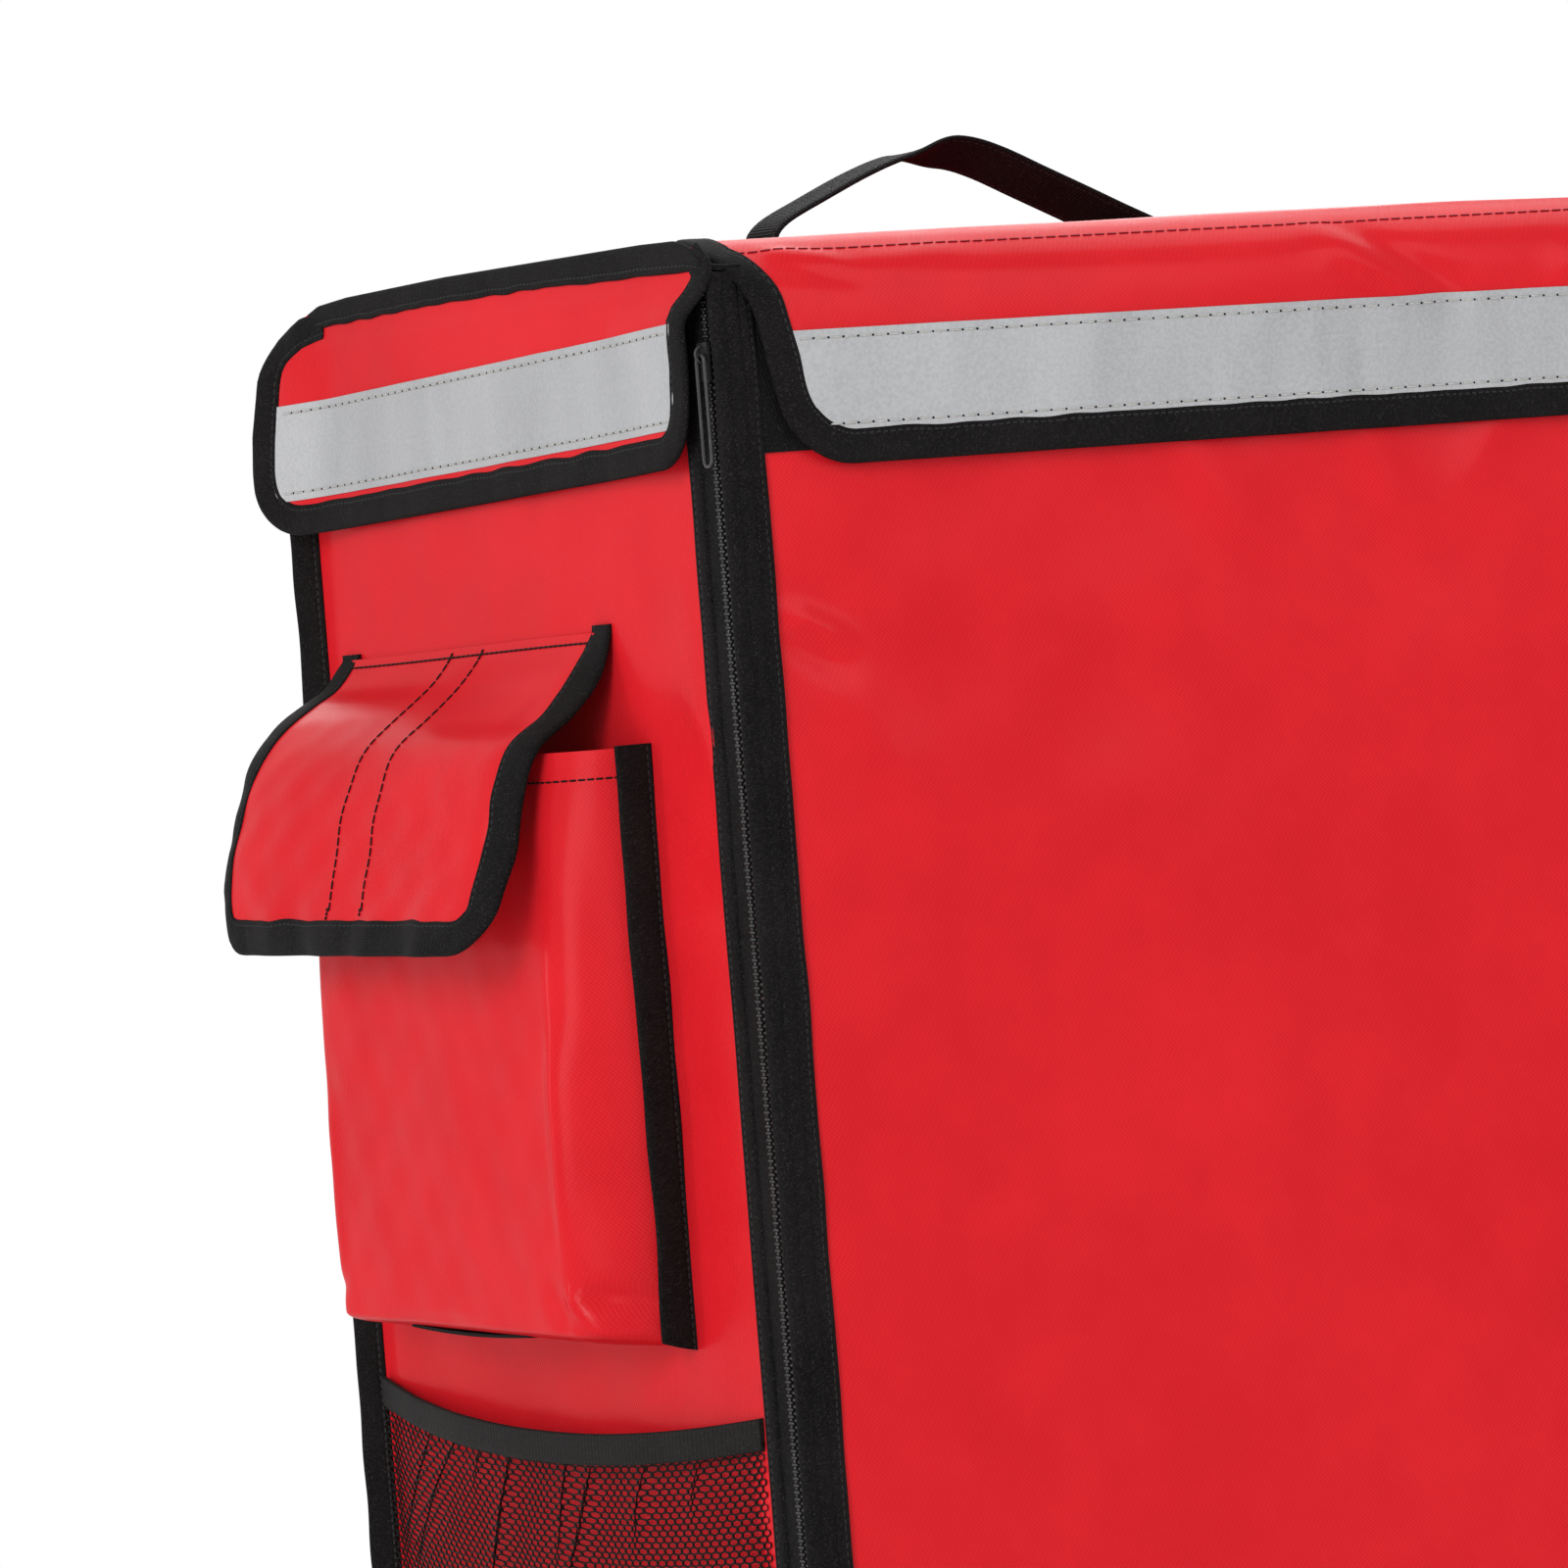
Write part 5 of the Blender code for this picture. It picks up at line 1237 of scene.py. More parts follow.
def lid_sides():
    """Bind the lid's side edges. The tape turns the front corner and ends behind the front flap's tape."""
    for name, side, seed in (("left", -1, 171), ("right", 1, 172)):
        path = [(0.2092, y) for y in np.arange(0.1785, -0.1740, -0.0025)]
        for step in range(1, 11):
            turn = math.pi / 2 * step / 10
            path.append((0.2032 + 0.0060 * math.cos(turn), -0.1743 - 0.0060 * math.sin(turn)))
        path += [(0.2010, -0.1803), (0.1985, -0.1803), (0.1965, -0.1803)]
        path = np.array(path)
        tangent = unit(np.gradient(path, axis=0))
        out = np.stack([-tangent[:, 1], tangent[:, 0]], axis=1)
        distance = lengths(path)
        y = path[:, 1]
        low = np.interp(y, (-0.180, -0.172, -0.128, -0.048, 0.037, 0.126, 0.155, 0.171, 0.1785),
                        (0.5994, 0.6000, 0.6010, 0.6034, 0.6042, 0.6034, 0.6024, 0.5990, 0.5960))
        low = low + 0.0004 * waves(distance, 0, 0.05, seed)
        places = (-0.181, -0.178, -0.173, -0.1655, -0.156, -0.129, -0.049, 0.035, 0.124, 0.150, 0.171, 0.1785)
        heights = (0.6010, 0.6030, 0.6066, 0.6100, 0.6121, 0.6129, 0.6135, 0.6141, 0.6131, 0.6117, 0.6062,
                   0.6020)
        high = np.interp(y, places, heights)
        width = 0.0105
        ring, edge = tape_profile(width, 0.0027)
        shares = ring[:, 0] / width
        wander = 0.0005 * waves(distance, 0, 0.02, seed + 4)
        height = ring[None, :, 1] * (1 + 0.1 * waves(distance, 0, 0.012, seed + 6))[:, None]
        rings = np.zeros((len(path), len(ring), 3))
        rings[..., :2] = path[:, None] + out[:, None] * height[..., None]
        rings[..., 0] *= side
        rings[..., 2] = high[:, None] - (high - low + wander)[:, None] * shares[None]
        tape = tube("lid_" + name + "_binding_tape", rings, uv_grid(distance, edge), BINDING)
        finish_piece(tape, "lid", "black_binding", "lid_" + name + "_binding")


def lid_inside():
    board = slab("lid_board_foam", (-0.2000, -0.1680, 0.6009), (0.2000, 0.1725, 0.6055), FOAM, seed=9)
    finish_piece(board, "lid", "insulation_foam", "lid_board")
    x, y = grid(-0.2032, 0.2032, 90, -0.1758, 0.1758, 80)
    z = 0.6000 - 0.0004 * np.abs(waves(x, y, 0.07, 181))
    points = np.stack([x, y, np.maximum(z, 0.5997)], axis=-1)
    lining = cloth("lid_foil", points, 0.0005, FOIL, x, y)
    finish_piece(lining, "lid", "foil_lining", "lid_lining")


def fabric_hinges():
    """Red strips that join the lid to the back wall and the front panel to the base."""
    for name, route, bodies, start, end in (
            ("lid_hinge_cloth", [(0.1784, 0.5750), (0.1785, 0.5900), (0.1790, 0.6000), (0.1790, 0.6062),
                                 (0.1770, 0.6102), (0.1700, 0.6122), (0.1600, 0.6126)],
             ("shell", "lid"), (0, 0.1790, 0.6000), (0, 0.1762, 0.6110)),
            ("front_hinge_cloth", [(-0.1785, 0.0075), (-0.1793, 0.0105), (-0.1796, 0.0130), (-0.1792, 0.0170),
                                   (-0.1786, 0.0225)],
             ("shell", "front_panel"), (0, -0.1790, 0.0095), (0, -0.1790, 0.0165))):
        line = resample(spline(route, 10), 0.0016)
        x, number = np.meshgrid(np.linspace(-1, 1, 90), np.arange(len(line)), indexing="ij")
        y, z = line[number, 0], line[number, 1]
        x = x * (0.2000 + 0.0072 * smoothstep(z, 0.5975, 0.6000))
        z = z - 0.0075 * smoothstep(np.abs(x), 0.165, 0.208) * smoothstep(z, 0.600, 0.6105)
        points = np.stack([x, y + 0.0002 * waves(x, number * 0.0016, 0.05, 301), z], axis=-1)
        strip = cloth(name, points, 0.0010, RED, x, number * 0.0016)
        finish_hinged(strip, "red_tarpaulin", bodies, dict(start=start, end=end))


# Side pocket and its flap

POCKET_LOW, POCKET_HIGH = -0.0961, 0.1501


def pocket_surface(u, v):
    """u runs front to back and v from the bottom to the mouth, both 0 to 1."""
    width, height = POCKET_HIGH - POCKET_LOW, 0.2215
    y = POCKET_LOW + width * u
    z = 0.2091 + height * v
    across = np.minimum(u, 1 - u) * width / 0.027
    up = v * height / 0.0075
    side_rise = np.sin(np.pi / 2 * np.minimum(across, 1.0)) ** 0.72
    bottom_rise = np.sin(np.pi / 2 * np.minimum(up, 1.0)) ** 0.62
    tuck = 0.0072 * v ** 4
    crown = 0.003 * (1 - (2 * u - 1) ** 2) * (1 - (2 * v - 1) ** 2)
    out = (0.0368 - tuck + crown) * side_rise * bottom_rise
    face = smoothstep(across, 0.5, 1.3) * smoothstep(up, 0.5, 1.5)
    out = out + 0.0010 * waves(y, z, 0.10, 191) * face + 0.0005 * waves(y, z, 0.030, 192) * face
    # The gusset's pinched fold at the lower front corner
    out = with_ridges(out, y, z, (
        (0.0028, (-0.074, 0.330), (-0.0745, 0.236), 0.0050),
        (-0.0044, (-0.0775, 0.2310), (-0.0955, 0.2250), 0.0048),
        (0.0030, (-0.0725, 0.2320), (-0.0860, 0.2120), 0.0036),
        (-0.0016, (-0.0580, 0.2360), (-0.0700, 0.2140), 0.0060),
        (-0.0022, (-0.086, 0.405), (-0.088, 0.250), 0.0060),
        (0.0010, (0.125, 0.300), (0.128, 0.228), 0.0065),
        (-0.0012, (0.120, 0.230), (0.143, 0.219), 0.0045),
        (-0.0016, (0.010, 0.2165), (0.090, 0.2150), 0.0030)))
    return np.stack([-(0.2059 + np.maximum(out, 0)), y, z], axis=-1)


def pocket():
    u = (1 - np.cos(np.pi * np.linspace(0, 1, 130))) / 2
    v = np.linspace(0, 1, 130) ** 1.7
    u, v = np.meshgrid(u, v, indexing="ij")
    points = pocket_surface(u, v)
    bag = cloth("pocket_cloth", points[::-1], 0.0012, RED)
    finish_piece(bag, "shell", "red_tarpaulin", "side_pocket")
    # Folded hem of the mouth, turned inward
    u = (1 - np.cos(np.pi * np.linspace(0.02, 0.98, 120))) / 2
    v = np.linspace(0.955, 0.9985, 10)
    u, v = np.meshgrid(u, v, indexing="ij")
    points = pocket_surface(u, v)
    normal = normals_of(points)
    inner = points + normal * (0.0013 if normal[60, 5, 0] > 0 else -0.0013)
    hem = cloth("pocket_hem", inner[::-1], 0.0010, RED)
    finish_piece(hem, "shell", "red_tarpaulin")
    line = Bits()
    u = (1 - np.cos(np.pi * np.linspace(0.03, 0.97, 300))) / 2
    v = np.full_like(u, 0.952)
    path = pocket_surface(u, v)
    facing = np.stack([np.full_like(u, -1.0), np.interp(u, (0, 0.12, 0.88, 1), (-1.2, 0, 0, 1.2)), 0 * u],
                      axis=1)
    line.stitches(path + unit(facing) * 0.0006, facing, pitch=0.0034, share=0.86, radius=0.00040)
    finish_piece(line.build("pocket_hem_stitches", BLACK_THREAD), "shell", "black_binding")
    # A thin black strip hangs a little below the fold: painted shadow for the dark slit between the pocket's
    # bottom and the wall
    y, v = grid(-0.024, 0.078, 60, 0, 1, 12)
    bow = np.sin(np.pi * (y + 0.024) / 0.102) ** 0.8
    points = np.stack([-(0.2075 + 0.0305 * v), y, 0.2096 + 0.0032 * v - 0.0016 * bow * v], axis=-1)
    tape = cloth("pocket_bottom_tape", points, 0.0012, BINDING, y, 0.012 * v)
    finish_piece(tape, "shell", "black_binding")
    for name, y, seed in (("front", -0.0985, 201), ("back", 0.1522, 202)):
        z = np.arange(0.2072, 0.4322, 0.0022)
        width = 0.0148
        ring, edge = tape_profile(width, 0.0031)
        reach = width - ring[:, 0]
        share = (reach / width) ** 1.3
        rings = np.zeros((len(z), len(ring), 3))
        wander = 0.0006 * waves(z, 0, 0.025, seed)
        lean = 0.0012 * waves(z, 0, 0.08, seed + 1)
        rings[..., 0] = -(0.2053 + reach[None] + wander[:, None] * share[None])
        rings[..., 1] = y + ring[None, :, 1] + lean[:, None] * share[None]
        droop = (1 - smoothstep(z, 0.206, 0.216))[:, None]
        rings[..., 2] = z[:, None] + 0.0042 * share[None] * droop
        tape = tube("pocket_" + name + "_tape", rings, uv_grid(z, edge), BINDING)
        finish_piece(tape, "shell", "black_binding", "pocket_" + name + "_binding")


# Profiles of the pocket flap's front and back ends in (x, z), from the hinge down
FRONT_PROFILE = np.array([(-0.2070, 0.4735), (-0.2090, 0.4645), (-0.2140, 0.4545), (-0.2255, 0.4433),
                          (-0.2393, 0.4336), (-0.2476, 0.4173), (-0.2530, 0.3970), (-0.2605, 0.3780),
                          (-0.2690, 0.3590)])
BACK_PROFILE = np.array([(-0.2070, 0.4735), (-0.2100, 0.4690), (-0.2170, 0.4615), (-0.2270, 0.4560),
                         (-0.2400, 0.4480), (-0.2530, 0.4350), (-0.2630, 0.4150), (-0.2695, 0.3890),
                         (-0.2700, 0.3620)])
FLAP_FRONT, FLAP_BACK, FLAP_LENGTH = -0.0760, 0.1585, 0.1375
# Points that each profile is drawn with
MARKS = 160


def even(profile):
    """Return a smooth curve through a profile, with evenly spaced points."""
    curve = spline(profile, 14)
    distance = lengths(curve)
    marks = np.linspace(0, distance[-1], MARKS)
    return np.stack([np.interp(marks, distance, curve[:, k]) for k in range(2)], axis=1)


FRONT_CURVE, BACK_CURVE = even(FRONT_PROFILE), even(BACK_PROFILE)


def pocket_flap_surface(a, b):
    share = smoothstep(a, FLAP_FRONT, FLAP_BACK)
    marks = np.linspace(0, FLAP_LENGTH, MARKS)
    x, z = (np.interp(b, marks, FRONT_CURVE[:, k]) * (1 - share)
            + np.interp(b, marks, BACK_CURVE[:, k]) * share for k in range(2))
    over = np.maximum(b - FLAP_LENGTH, 0) - np.maximum(-b, 0)
    z = z - over - 0.0030 * share
    free = smoothstep(b, 0.015, 0.09)
    x = x - free * (0.0012 * waves(a, b, 0.075, 211) + 0.0006 * waves(a, b, 0.025, 213))
    low = smoothstep(b, 0.100, 0.134)
    x = x - 0.0011 * low * np.sin(a * 2 * np.pi / 0.047)
    # Both side edges curl back toward the wall
    edge = 1 - np.clip((a - FLAP_FRONT) / 0.024, 0, 1)
    x = x - 0.0070 * (1 - edge ** 2) * (1 - share) * smoothstep(b, -0.002, 0.020)
    rear = np.clip((a - FLAP_BACK + 0.026) / 0.026, 0, 1.0)
    x = x + 0.0055 * rear ** 2 * smoothstep(b, 0.030, 0.100)
    return np.stack([x + 0 * a, a + 0 * b, z + 0 * a], axis=-1)


def pocket_flap():
    front = lambda b: FLAP_FRONT
    back = lambda b: FLAP_BACK
    a, b = flap_grid(front, back, FLAP_LENGTH, 0.020, 110, 56)
    sheet = cloth("pocket_flap_cloth", pocket_flap_surface(a, b), 0.0014, RED, a, -b)
    finish_piece(sheet, "pocket_flap", "red_tarpaulin", "pocket_flap")
    route = flap_outline(front, back, FLAP_LENGTH, 0.020)
    route = np.concatenate([[(route[0][0], -0.0030)], route, [(route[-1][0], -0.0025)]])
    tape = edge_tape("pocket_flap_tape", pocket_flap_surface, route, 0.0142, 0.0033, 221, curl=-0.0012)
    finish_piece(tape, "pocket_flap", "black_binding", "pocket_flap_binding")
    line = Bits()

    def run(a, b, **options):
        face = surface_normal(pocket_flap_surface, a, b, 0.0008)
        if face[len(face) // 2] @ np.array([-1, 0, 0.4]) < 0:
            face = -face
        line.stitches(pocket_flap_surface(a, b) + face * 0.00085, face, **options)

    for middle in (0.0275, 0.0545):
        b = np.linspace(0.0022, FLAP_LENGTH - 0.0155, 260)
        sway = 0.0012 * np.sin(b * 40)
        run(middle + sway, b, pitch=0.0042, share=0.84, radius=0.00046)
        run(np.full(8, middle) + 0.0003, np.linspace(FLAP_LENGTH - 0.0190, FLAP_LENGTH - 0.0140, 8),
            pitch=0.0016, share=0.9, radius=0.00060)
        run(np.full(8, middle) + 0.0003, np.linspace(0.0018, 0.0070, 8), pitch=0.0016, share=0.9,
            radius=0.00062)
    a = np.linspace(FLAP_FRONT + 0.013, FLAP_BACK - 0.011, 260)
    run(a, np.full_like(a, 0.0040), pitch=0.0042, share=0.88, radius=0.00048)
    finish_piece(line.build("pocket_flap_stitches", BLACK_THREAD), "pocket_flap", "black_binding")


# Net pockets

# Folds under the band, each as its start and end in (y, z) and how far it laps over
NET_FOLDS = (((0.118, 0.166), (0.152, 0.128), 1.5), ((0.090, 0.166), (0.136, 0.124), 1.7),
             ((0.038, 0.166), (0.066, 0.105), 1.7), ((-0.010, 0.166), (0.004, 0.125), 1.6),
             ((-0.030, 0.162), (0.002, 0.105), 1.9), ((-0.072, 0.168), (-0.060, 0.138), 1.4),
             ((-0.108, 0.168), (-0.100, 0.150), 1.1), ((0.064, 0.168), (0.074, 0.150), 1.0))
NET_FRONT, NET_BACK, NET_LOW = -0.148, 0.1745, 0.0126


def net_top(u):
    """Height of a net pocket's mouth. u runs front to back, 0 to 1."""
    return 0.185 - 0.0115 * (1 - (2 * u - 1) ** 2)


def net_place(side, u, z, thickness):
    """Return x and y of a net pocket's middle surface at a height."""
    share = (z - NET_LOW) / (net_top(u) - NET_LOW)
    rise = np.sin(np.pi / 2 * np.clip(share * 1.6, 0, 1))
    out = 0.0125 * (1 - np.abs(2 * u - 1) ** 2.6) * rise
    y = NET_FRONT + (NET_BACK - NET_FRONT) * u
    return side * (HALF_WIDTH + 0.0003 + thickness / 2 + out), y


def net(side):
    name = "left" if side < 0 else "right"
    # Cells in offset rows, gathered so that the net is 1.12 times as long as its band
    cell_length, cell_height, fullness = 0.0064, 0.0025, 1.12
    columns = int((NET_BACK - NET_FRONT) * fullness / cell_length)
    rows = int(0.176 / cell_height) + 1
    turns = [math.radians(60 * k + 30) for k in range(6)]
    cells = []
    for row in range(rows):
        for column in range(columns):
            middle_u = (column + (0.5 if row % 2 else 0.0) + 0.5) / columns
            middle_v = (row + 0.5) / rows
            cells.append([(middle_u + math.cos(turn) * 0.577 / columns,
                           middle_v + math.sin(turn) * 0.667 / rows) for turn in turns])
    cells = np.array(cells)
    middle = cells.mean(axis=1, keepdims=True)
    inner = middle + (cells - middle) * np.array([0.86, 0.76])

    def surface(uv, lift):
        u, v = np.clip(uv[..., 0], 0, 1), np.clip(uv[..., 1], 0, 1)
        z = NET_LOW + (net_top(u) - 0.0085 - NET_LOW) * v
        inside = smoothstep(u, 0.0, 0.05) * smoothstep(-u, -1.0, -0.95)
        x, y = net_place(side, u, z, 0.0010)
        shift, bump = np.zeros(u.shape), np.zeros(u.shape)
        # Each fold laps the net over itself along a leaning line under the band
        for start, end, depth in NET_FOLDS:
            along, across, length = beside_line(y, z, start, end)
            fade = smoothstep(along, -0.004, 0.008) * (1 - smoothstep(along, 0.55 * length, 1.5 * length))
            near = np.exp(-(across / 0.0055) ** 2) * fade
            shift -= depth * across * near
            bump += 0.0014 * near
        slack = 0.0007 * (1 + waves(y + z * 0.45, 0 * z, 0.034, 233 + side)) * smoothstep(-v, -0.99, -0.85)
        out = np.abs(x) + (bump + slack) * inside + lift + 0.0006 * waves(y, z, 0.03, 231) * inside
        return np.stack([side * np.maximum(out, HALF_WIDTH + 0.0025 + lift), y + shift * inside, z], axis=-1)

    outer_front, inner_front = surface(cells, 0.00022), surface(inner, 0.00030)
    outer_back, inner_back = surface(cells, -0.00022), surface(inner, -0.00030)
    number = len(cells)
    points = np.concatenate([outer_front, inner_front, outer_back, inner_back], axis=1).reshape(-1, 3)
    base = (np.arange(number) * 24)[:, None]
    faces = []
    for k in range(6):
        after = (k + 1) % 6
        for corners in ((k, after, 6 + after, 6 + k), (12 + k, 18 + k, 18 + after, 12 + after),
                        (6 + k, 6 + after, 18 + after, 18 + k)):
            faces.append(base + np.array(corners))
    web = make(name + "_net_mesh", points, np.concatenate(faces), None, NET, 80)
    finish_piece(web, "shell", "black_net", name + "_net_pocket")

    u = np.linspace(0.002, 0.998, 130)
    ring = np.array([(-0.0060, 0.15), (-0.0059, 0.6), (-0.0052, 0.92), (-0.0030, 1.0), (0.0, 0.94),
                     (0.0030, 1.0), (0.0052, 0.92), (0.0059, 0.6), (0.0060, 0.0), (0.0059, -0.6),
                     (0.0052, -0.9), (0.0, -1.0), (-0.0052, -0.9), (-0.0059, -0.6), (-0.0060, -0.15)])
    rings = np.zeros((len(u), len(ring), 3))
    top = net_top(u)
    x, y = net_place(side, u, top, 0.0022)
    gather = 0.0003 * waves(y, 0, 0.026, 241)
    rings[..., 0] = x[:, None] + side * (0.0006 + gather[:, None] + ring[None, :, 1] * 0.0014)
    rings[..., 1] = y[:, None]
    rings[..., 2] = (top - 0.0062)[:, None] + ring[None, :, 0]
    band = tube(name + "_net_elastic", rings, uv_grid(y - NET_FRONT, ring[:, 0] + 0.006), ELASTIC)
    finish_piece(band, "shell", "black_binding", name + "_net_band")


# Handle

# Outline of a webbing, as shares of its half width and half thickness
WEBBING_ACROSS = np.array([-1, -0.97, -0.90, -0.6, 0, 0.6, 0.90, 0.97,
                           1, 0.97, 0.90, 0.6, 0, -0.6, -0.90, -0.97])
WEBBING_HEIGHT = np.array([0, 0.6, 1.0, 0.86, 0.86, 0.86, 1.0, 0.6,
                           0, -0.6, -1.0, -0.86, -0.86, -0.86, -1.0, -0.6])


def box_lines(a, b, c, d):
    """The sides and diagonals of a box from a to b and from c to d, as (start, end) pairs."""
    return (((a, c), (b, c)), ((b, c), (b, d)), ((b, d), (a, d)), ((a, d), (a, c)), ((a, c), (b, d)),
            ((a, d), (b, c)))


def handle():
    route = spline([(-0.0865, 0.6120), (-0.0895, 0.6190), (-0.0835, 0.6262), (-0.0660, 0.6345),
                    (-0.0450, 0.6435), (-0.0280, 0.6490), (-0.0140, 0.6508), (0.0000, 0.6500),
                    (0.0140, 0.6455), (0.0320, 0.6372), (0.0520, 0.6280), (0.0680, 0.6205),
                    (0.0790, 0.6160), (0.0900, 0.6144), (0.1000, 0.6142)], 12)
    route = resample(route, 0.0022)
    tangent = unit(np.gradient(route, axis=0))
    normal = np.stack([-tangent[:, 1], tangent[:, 0]], axis=1)
    distance = lengths(route)
    x = route[:, 0]
    # The webbing is edge-on just left of its top and then turns its face toward the camera
    twist = math.radians(2) - math.radians(27) * smoothstep(x, -0.027, -0.004)
    twist = twist * smoothstep(distance[-1] - distance, 0.0, 0.026)
    side = np.stack([normal[:, 0] * np.sin(twist), np.cos(twist), normal[:, 1] * np.sin(twist)], axis=1)
    face = np.stack([normal[:, 0] * np.cos(twist), -np.sin(twist), normal[:, 1] * np.cos(twist)], axis=1)
    thick = WEBBING_HEIGHT * 0.0010
    centre = np.stack([route[:, 0], 0 * x, route[:, 1]], axis=1)
    rings = (centre[:, None] + side[:, None] * (0.0123 * WEBBING_ACROSS)[None, :, None]
             + face[:, None] * thick[None, :, None])
    edge = 0.0125 * (1 - np.abs(WEBBING_ACROSS))
    strap = tube("handle_webbing", rings, uv_grid(distance, edge), WEBBING, closed_ring=True)
    place = dict(start=(0, 0, 0.6150), end=(0, 0, 0.6240))
    finish_hinged(strap, "black_webbing", ("lid", "handle"), place, "carry_handle")
    for name, sign in (("left", -1), ("right", 1)):
        low, high = sorted((sign * 0.076, sign * 0.116))
        x, y = grid(low, high, 30, -0.0125, 0.0125, 18)
        points = lid_surface(x, top_place(y)) + np.array([0, 0, 0.0014])
        tail = cloth("handle_tail_" + name + "_webbing", points, 0.0014, WEBBING, x - low, 0.0125 - np.abs(y))
        finish_piece(tail, "lid", "black_webbing", "handle_tail_" + name)
        line = Bits()
        for start, end in box_lines(low + 0.003, high - 0.003, -0.0095, 0.0095):
            t = np.linspace(0, 1, 20)
            lx, ly = start[0] + (end[0] - start[0]) * t, start[1] + (end[1] - start[1]) * t
            at = lid_surface(lx, top_place(ly)) + np.array([0, 0, 0.0022])
            line.stitches(at, np.tile((0, 0, 1.0), (20, 1)), pitch=0.0028)
        finish_piece(line.build("handle_tail_" + name + "_stitches", BLACK_THREAD), "lid", "black_webbing")


# Middle of the left back pad and of the left shoulder strap
PAD_X = -0.075


def inflate(obj, held, pressure, cap, swell):
    """Puff a closed form up with cloth simulation, keeping each point within cap of its start."""
    frames = 20
    start = np.zeros(len(obj.data.vertices) * 3)
    obj.data.vertices.foreach_get("co", start)
    start = start.reshape(-1, 3)
    group = obj.vertex_groups.new(name="held")
    group.add([int(index) for index in held], 1.0, "REPLACE")
    modifier = obj.modifiers.new("puff", "CLOTH")
    settings = modifier.settings
    settings.quality = 6
    settings.mass = 0.2
    settings.tension_stiffness = 12
    settings.compression_stiffness = 12
    settings.bending_stiffness = 0.5
    settings.use_pressure = True
    settings.uniform_pressure_force = pressure
    settings.shrink_min = -swell
    settings.vertex_group_mass = "held"
    settings.effector_weights.gravity = 0
    modifier.point_cache.frame_start = 1
    modifier.point_cache.frame_end = frames
    for frame in range(1, frames + 1):
        SCENE.frame_set(frame)
    evaluated = obj.evaluated_get(bpy.context.evaluated_depsgraph_get())
    mesh = evaluated.to_mesh()
    moved = np.zeros(len(start) * 3)
    mesh.vertices.foreach_get("co", moved)
    evaluated.to_mesh_clear()
    obj.modifiers.remove(modifier)
    obj.vertex_groups.remove(group)
    SCENE.frame_set(1)
    move = moved.reshape(-1, 3) - start
    size = np.linalg.norm(move, axis=1, keepdims=True)
    move = move * np.minimum(1, cap / np.maximum(size, 1e-9))
    obj.data.vertices.foreach_set("co", (start + move).ravel())
    obj.data.update()


def pillow(name, surface, half, low, high, radius, top, bottom, columns, rows, material, channels=(),
           sewn=()):
    """Make a closed pad over a surface(a, b) with round corners, and return it with its held points.

    top and bottom give its height over the surface by (distance from the outline, a, b). channels and sewn
    are conditions on (a, b) for the points that a simulation holds on the top face, and on both faces.
    """
    a, b = grid(-half, half, columns, low, high, rows)
    middle = (low + high) / 2
    reach = (high - low) / 2
    pa = np.clip((np.abs(a) - (half - radius)) / radius, 0, 1)
    pb = np.clip((np.abs(b - middle) - (reach - radius)) / radius, 0, 1)
    ra, rb = pa * np.sqrt(1 - pb ** 2 / 2), pb * np.sqrt(1 - pa ** 2 / 2)
    a = np.where(pa > 0, np.sign(a) * (half - radius + radius * ra), a)
    b = np.where(pb > 0, middle + np.sign(b - middle) * (reach - radius + radius * rb), b)
    qa, qb = np.abs(a) - (half - radius), np.abs(b - middle) - (reach - radius)
    inset = radius - np.hypot(np.maximum(qa, 0), np.maximum(qb, 0)) - np.minimum(np.maximum(qa, qb), 0)
    normal = surface_normal(surface, a, b, 0.0006)
    at = surface(a, b)
    over = at + normal * top(inset, a, b)[..., None]
    under = at - normal * bottom(inset, a, b)[..., None]
    obj = layers(name, over, under, material, a, b, 60)
    count = columns * rows
    index = np.arange(count).reshape(columns, rows)
    border = np.unique(np.concatenate([part.ravel() for part in (index[:3], index[-3:], index[:, :3],
                                                                 index[:, -3:])]))
    held = [border, border + count]
    for place in channels:
        held.append(index[place(a, b)])
    for place in sewn:
        held.append(index[place(a, b)])
        held.append(index[place(a, b)] + count)
    return obj, np.concatenate(held)


def rounded(half, low, high, radius):
    """Return the outline of a rectangle with round corners in (a, b), from the middle of its low end."""
    route = [(0.0001, low)]
    reach, steps = half - radius, 8
    for corner, (a, b) in enumerate(((-reach, low + radius), (-reach, high - radius), (reach, high - radius),
                                     (reach, low + radius))):
        for step in range(steps + 1):
            turn = math.radians(270) - math.pi / 2 * (corner + step / steps)
            route.append((a + radius * math.cos(turn), b + radius * math.sin(turn)))
    return np.array(route + [(-0.0001, low)])


def put_on_both_sides(piece, slot, ending=None, fill=None):
    """Put a left piece and its mirrored twin on the shell.

    A piece that replaces a node has the node's name with ending added.
    """
    for one in (piece, mirrored(piece, piece.name.replace("left", "right"))):
        finish_piece(one, "shell", slot)
        if ending:
            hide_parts(one.name.replace(ending, ""))
        if fill:
            smooth = one.modifiers.new("smooth", "SUBSURF")
            smooth.levels = smooth.render_levels = 1


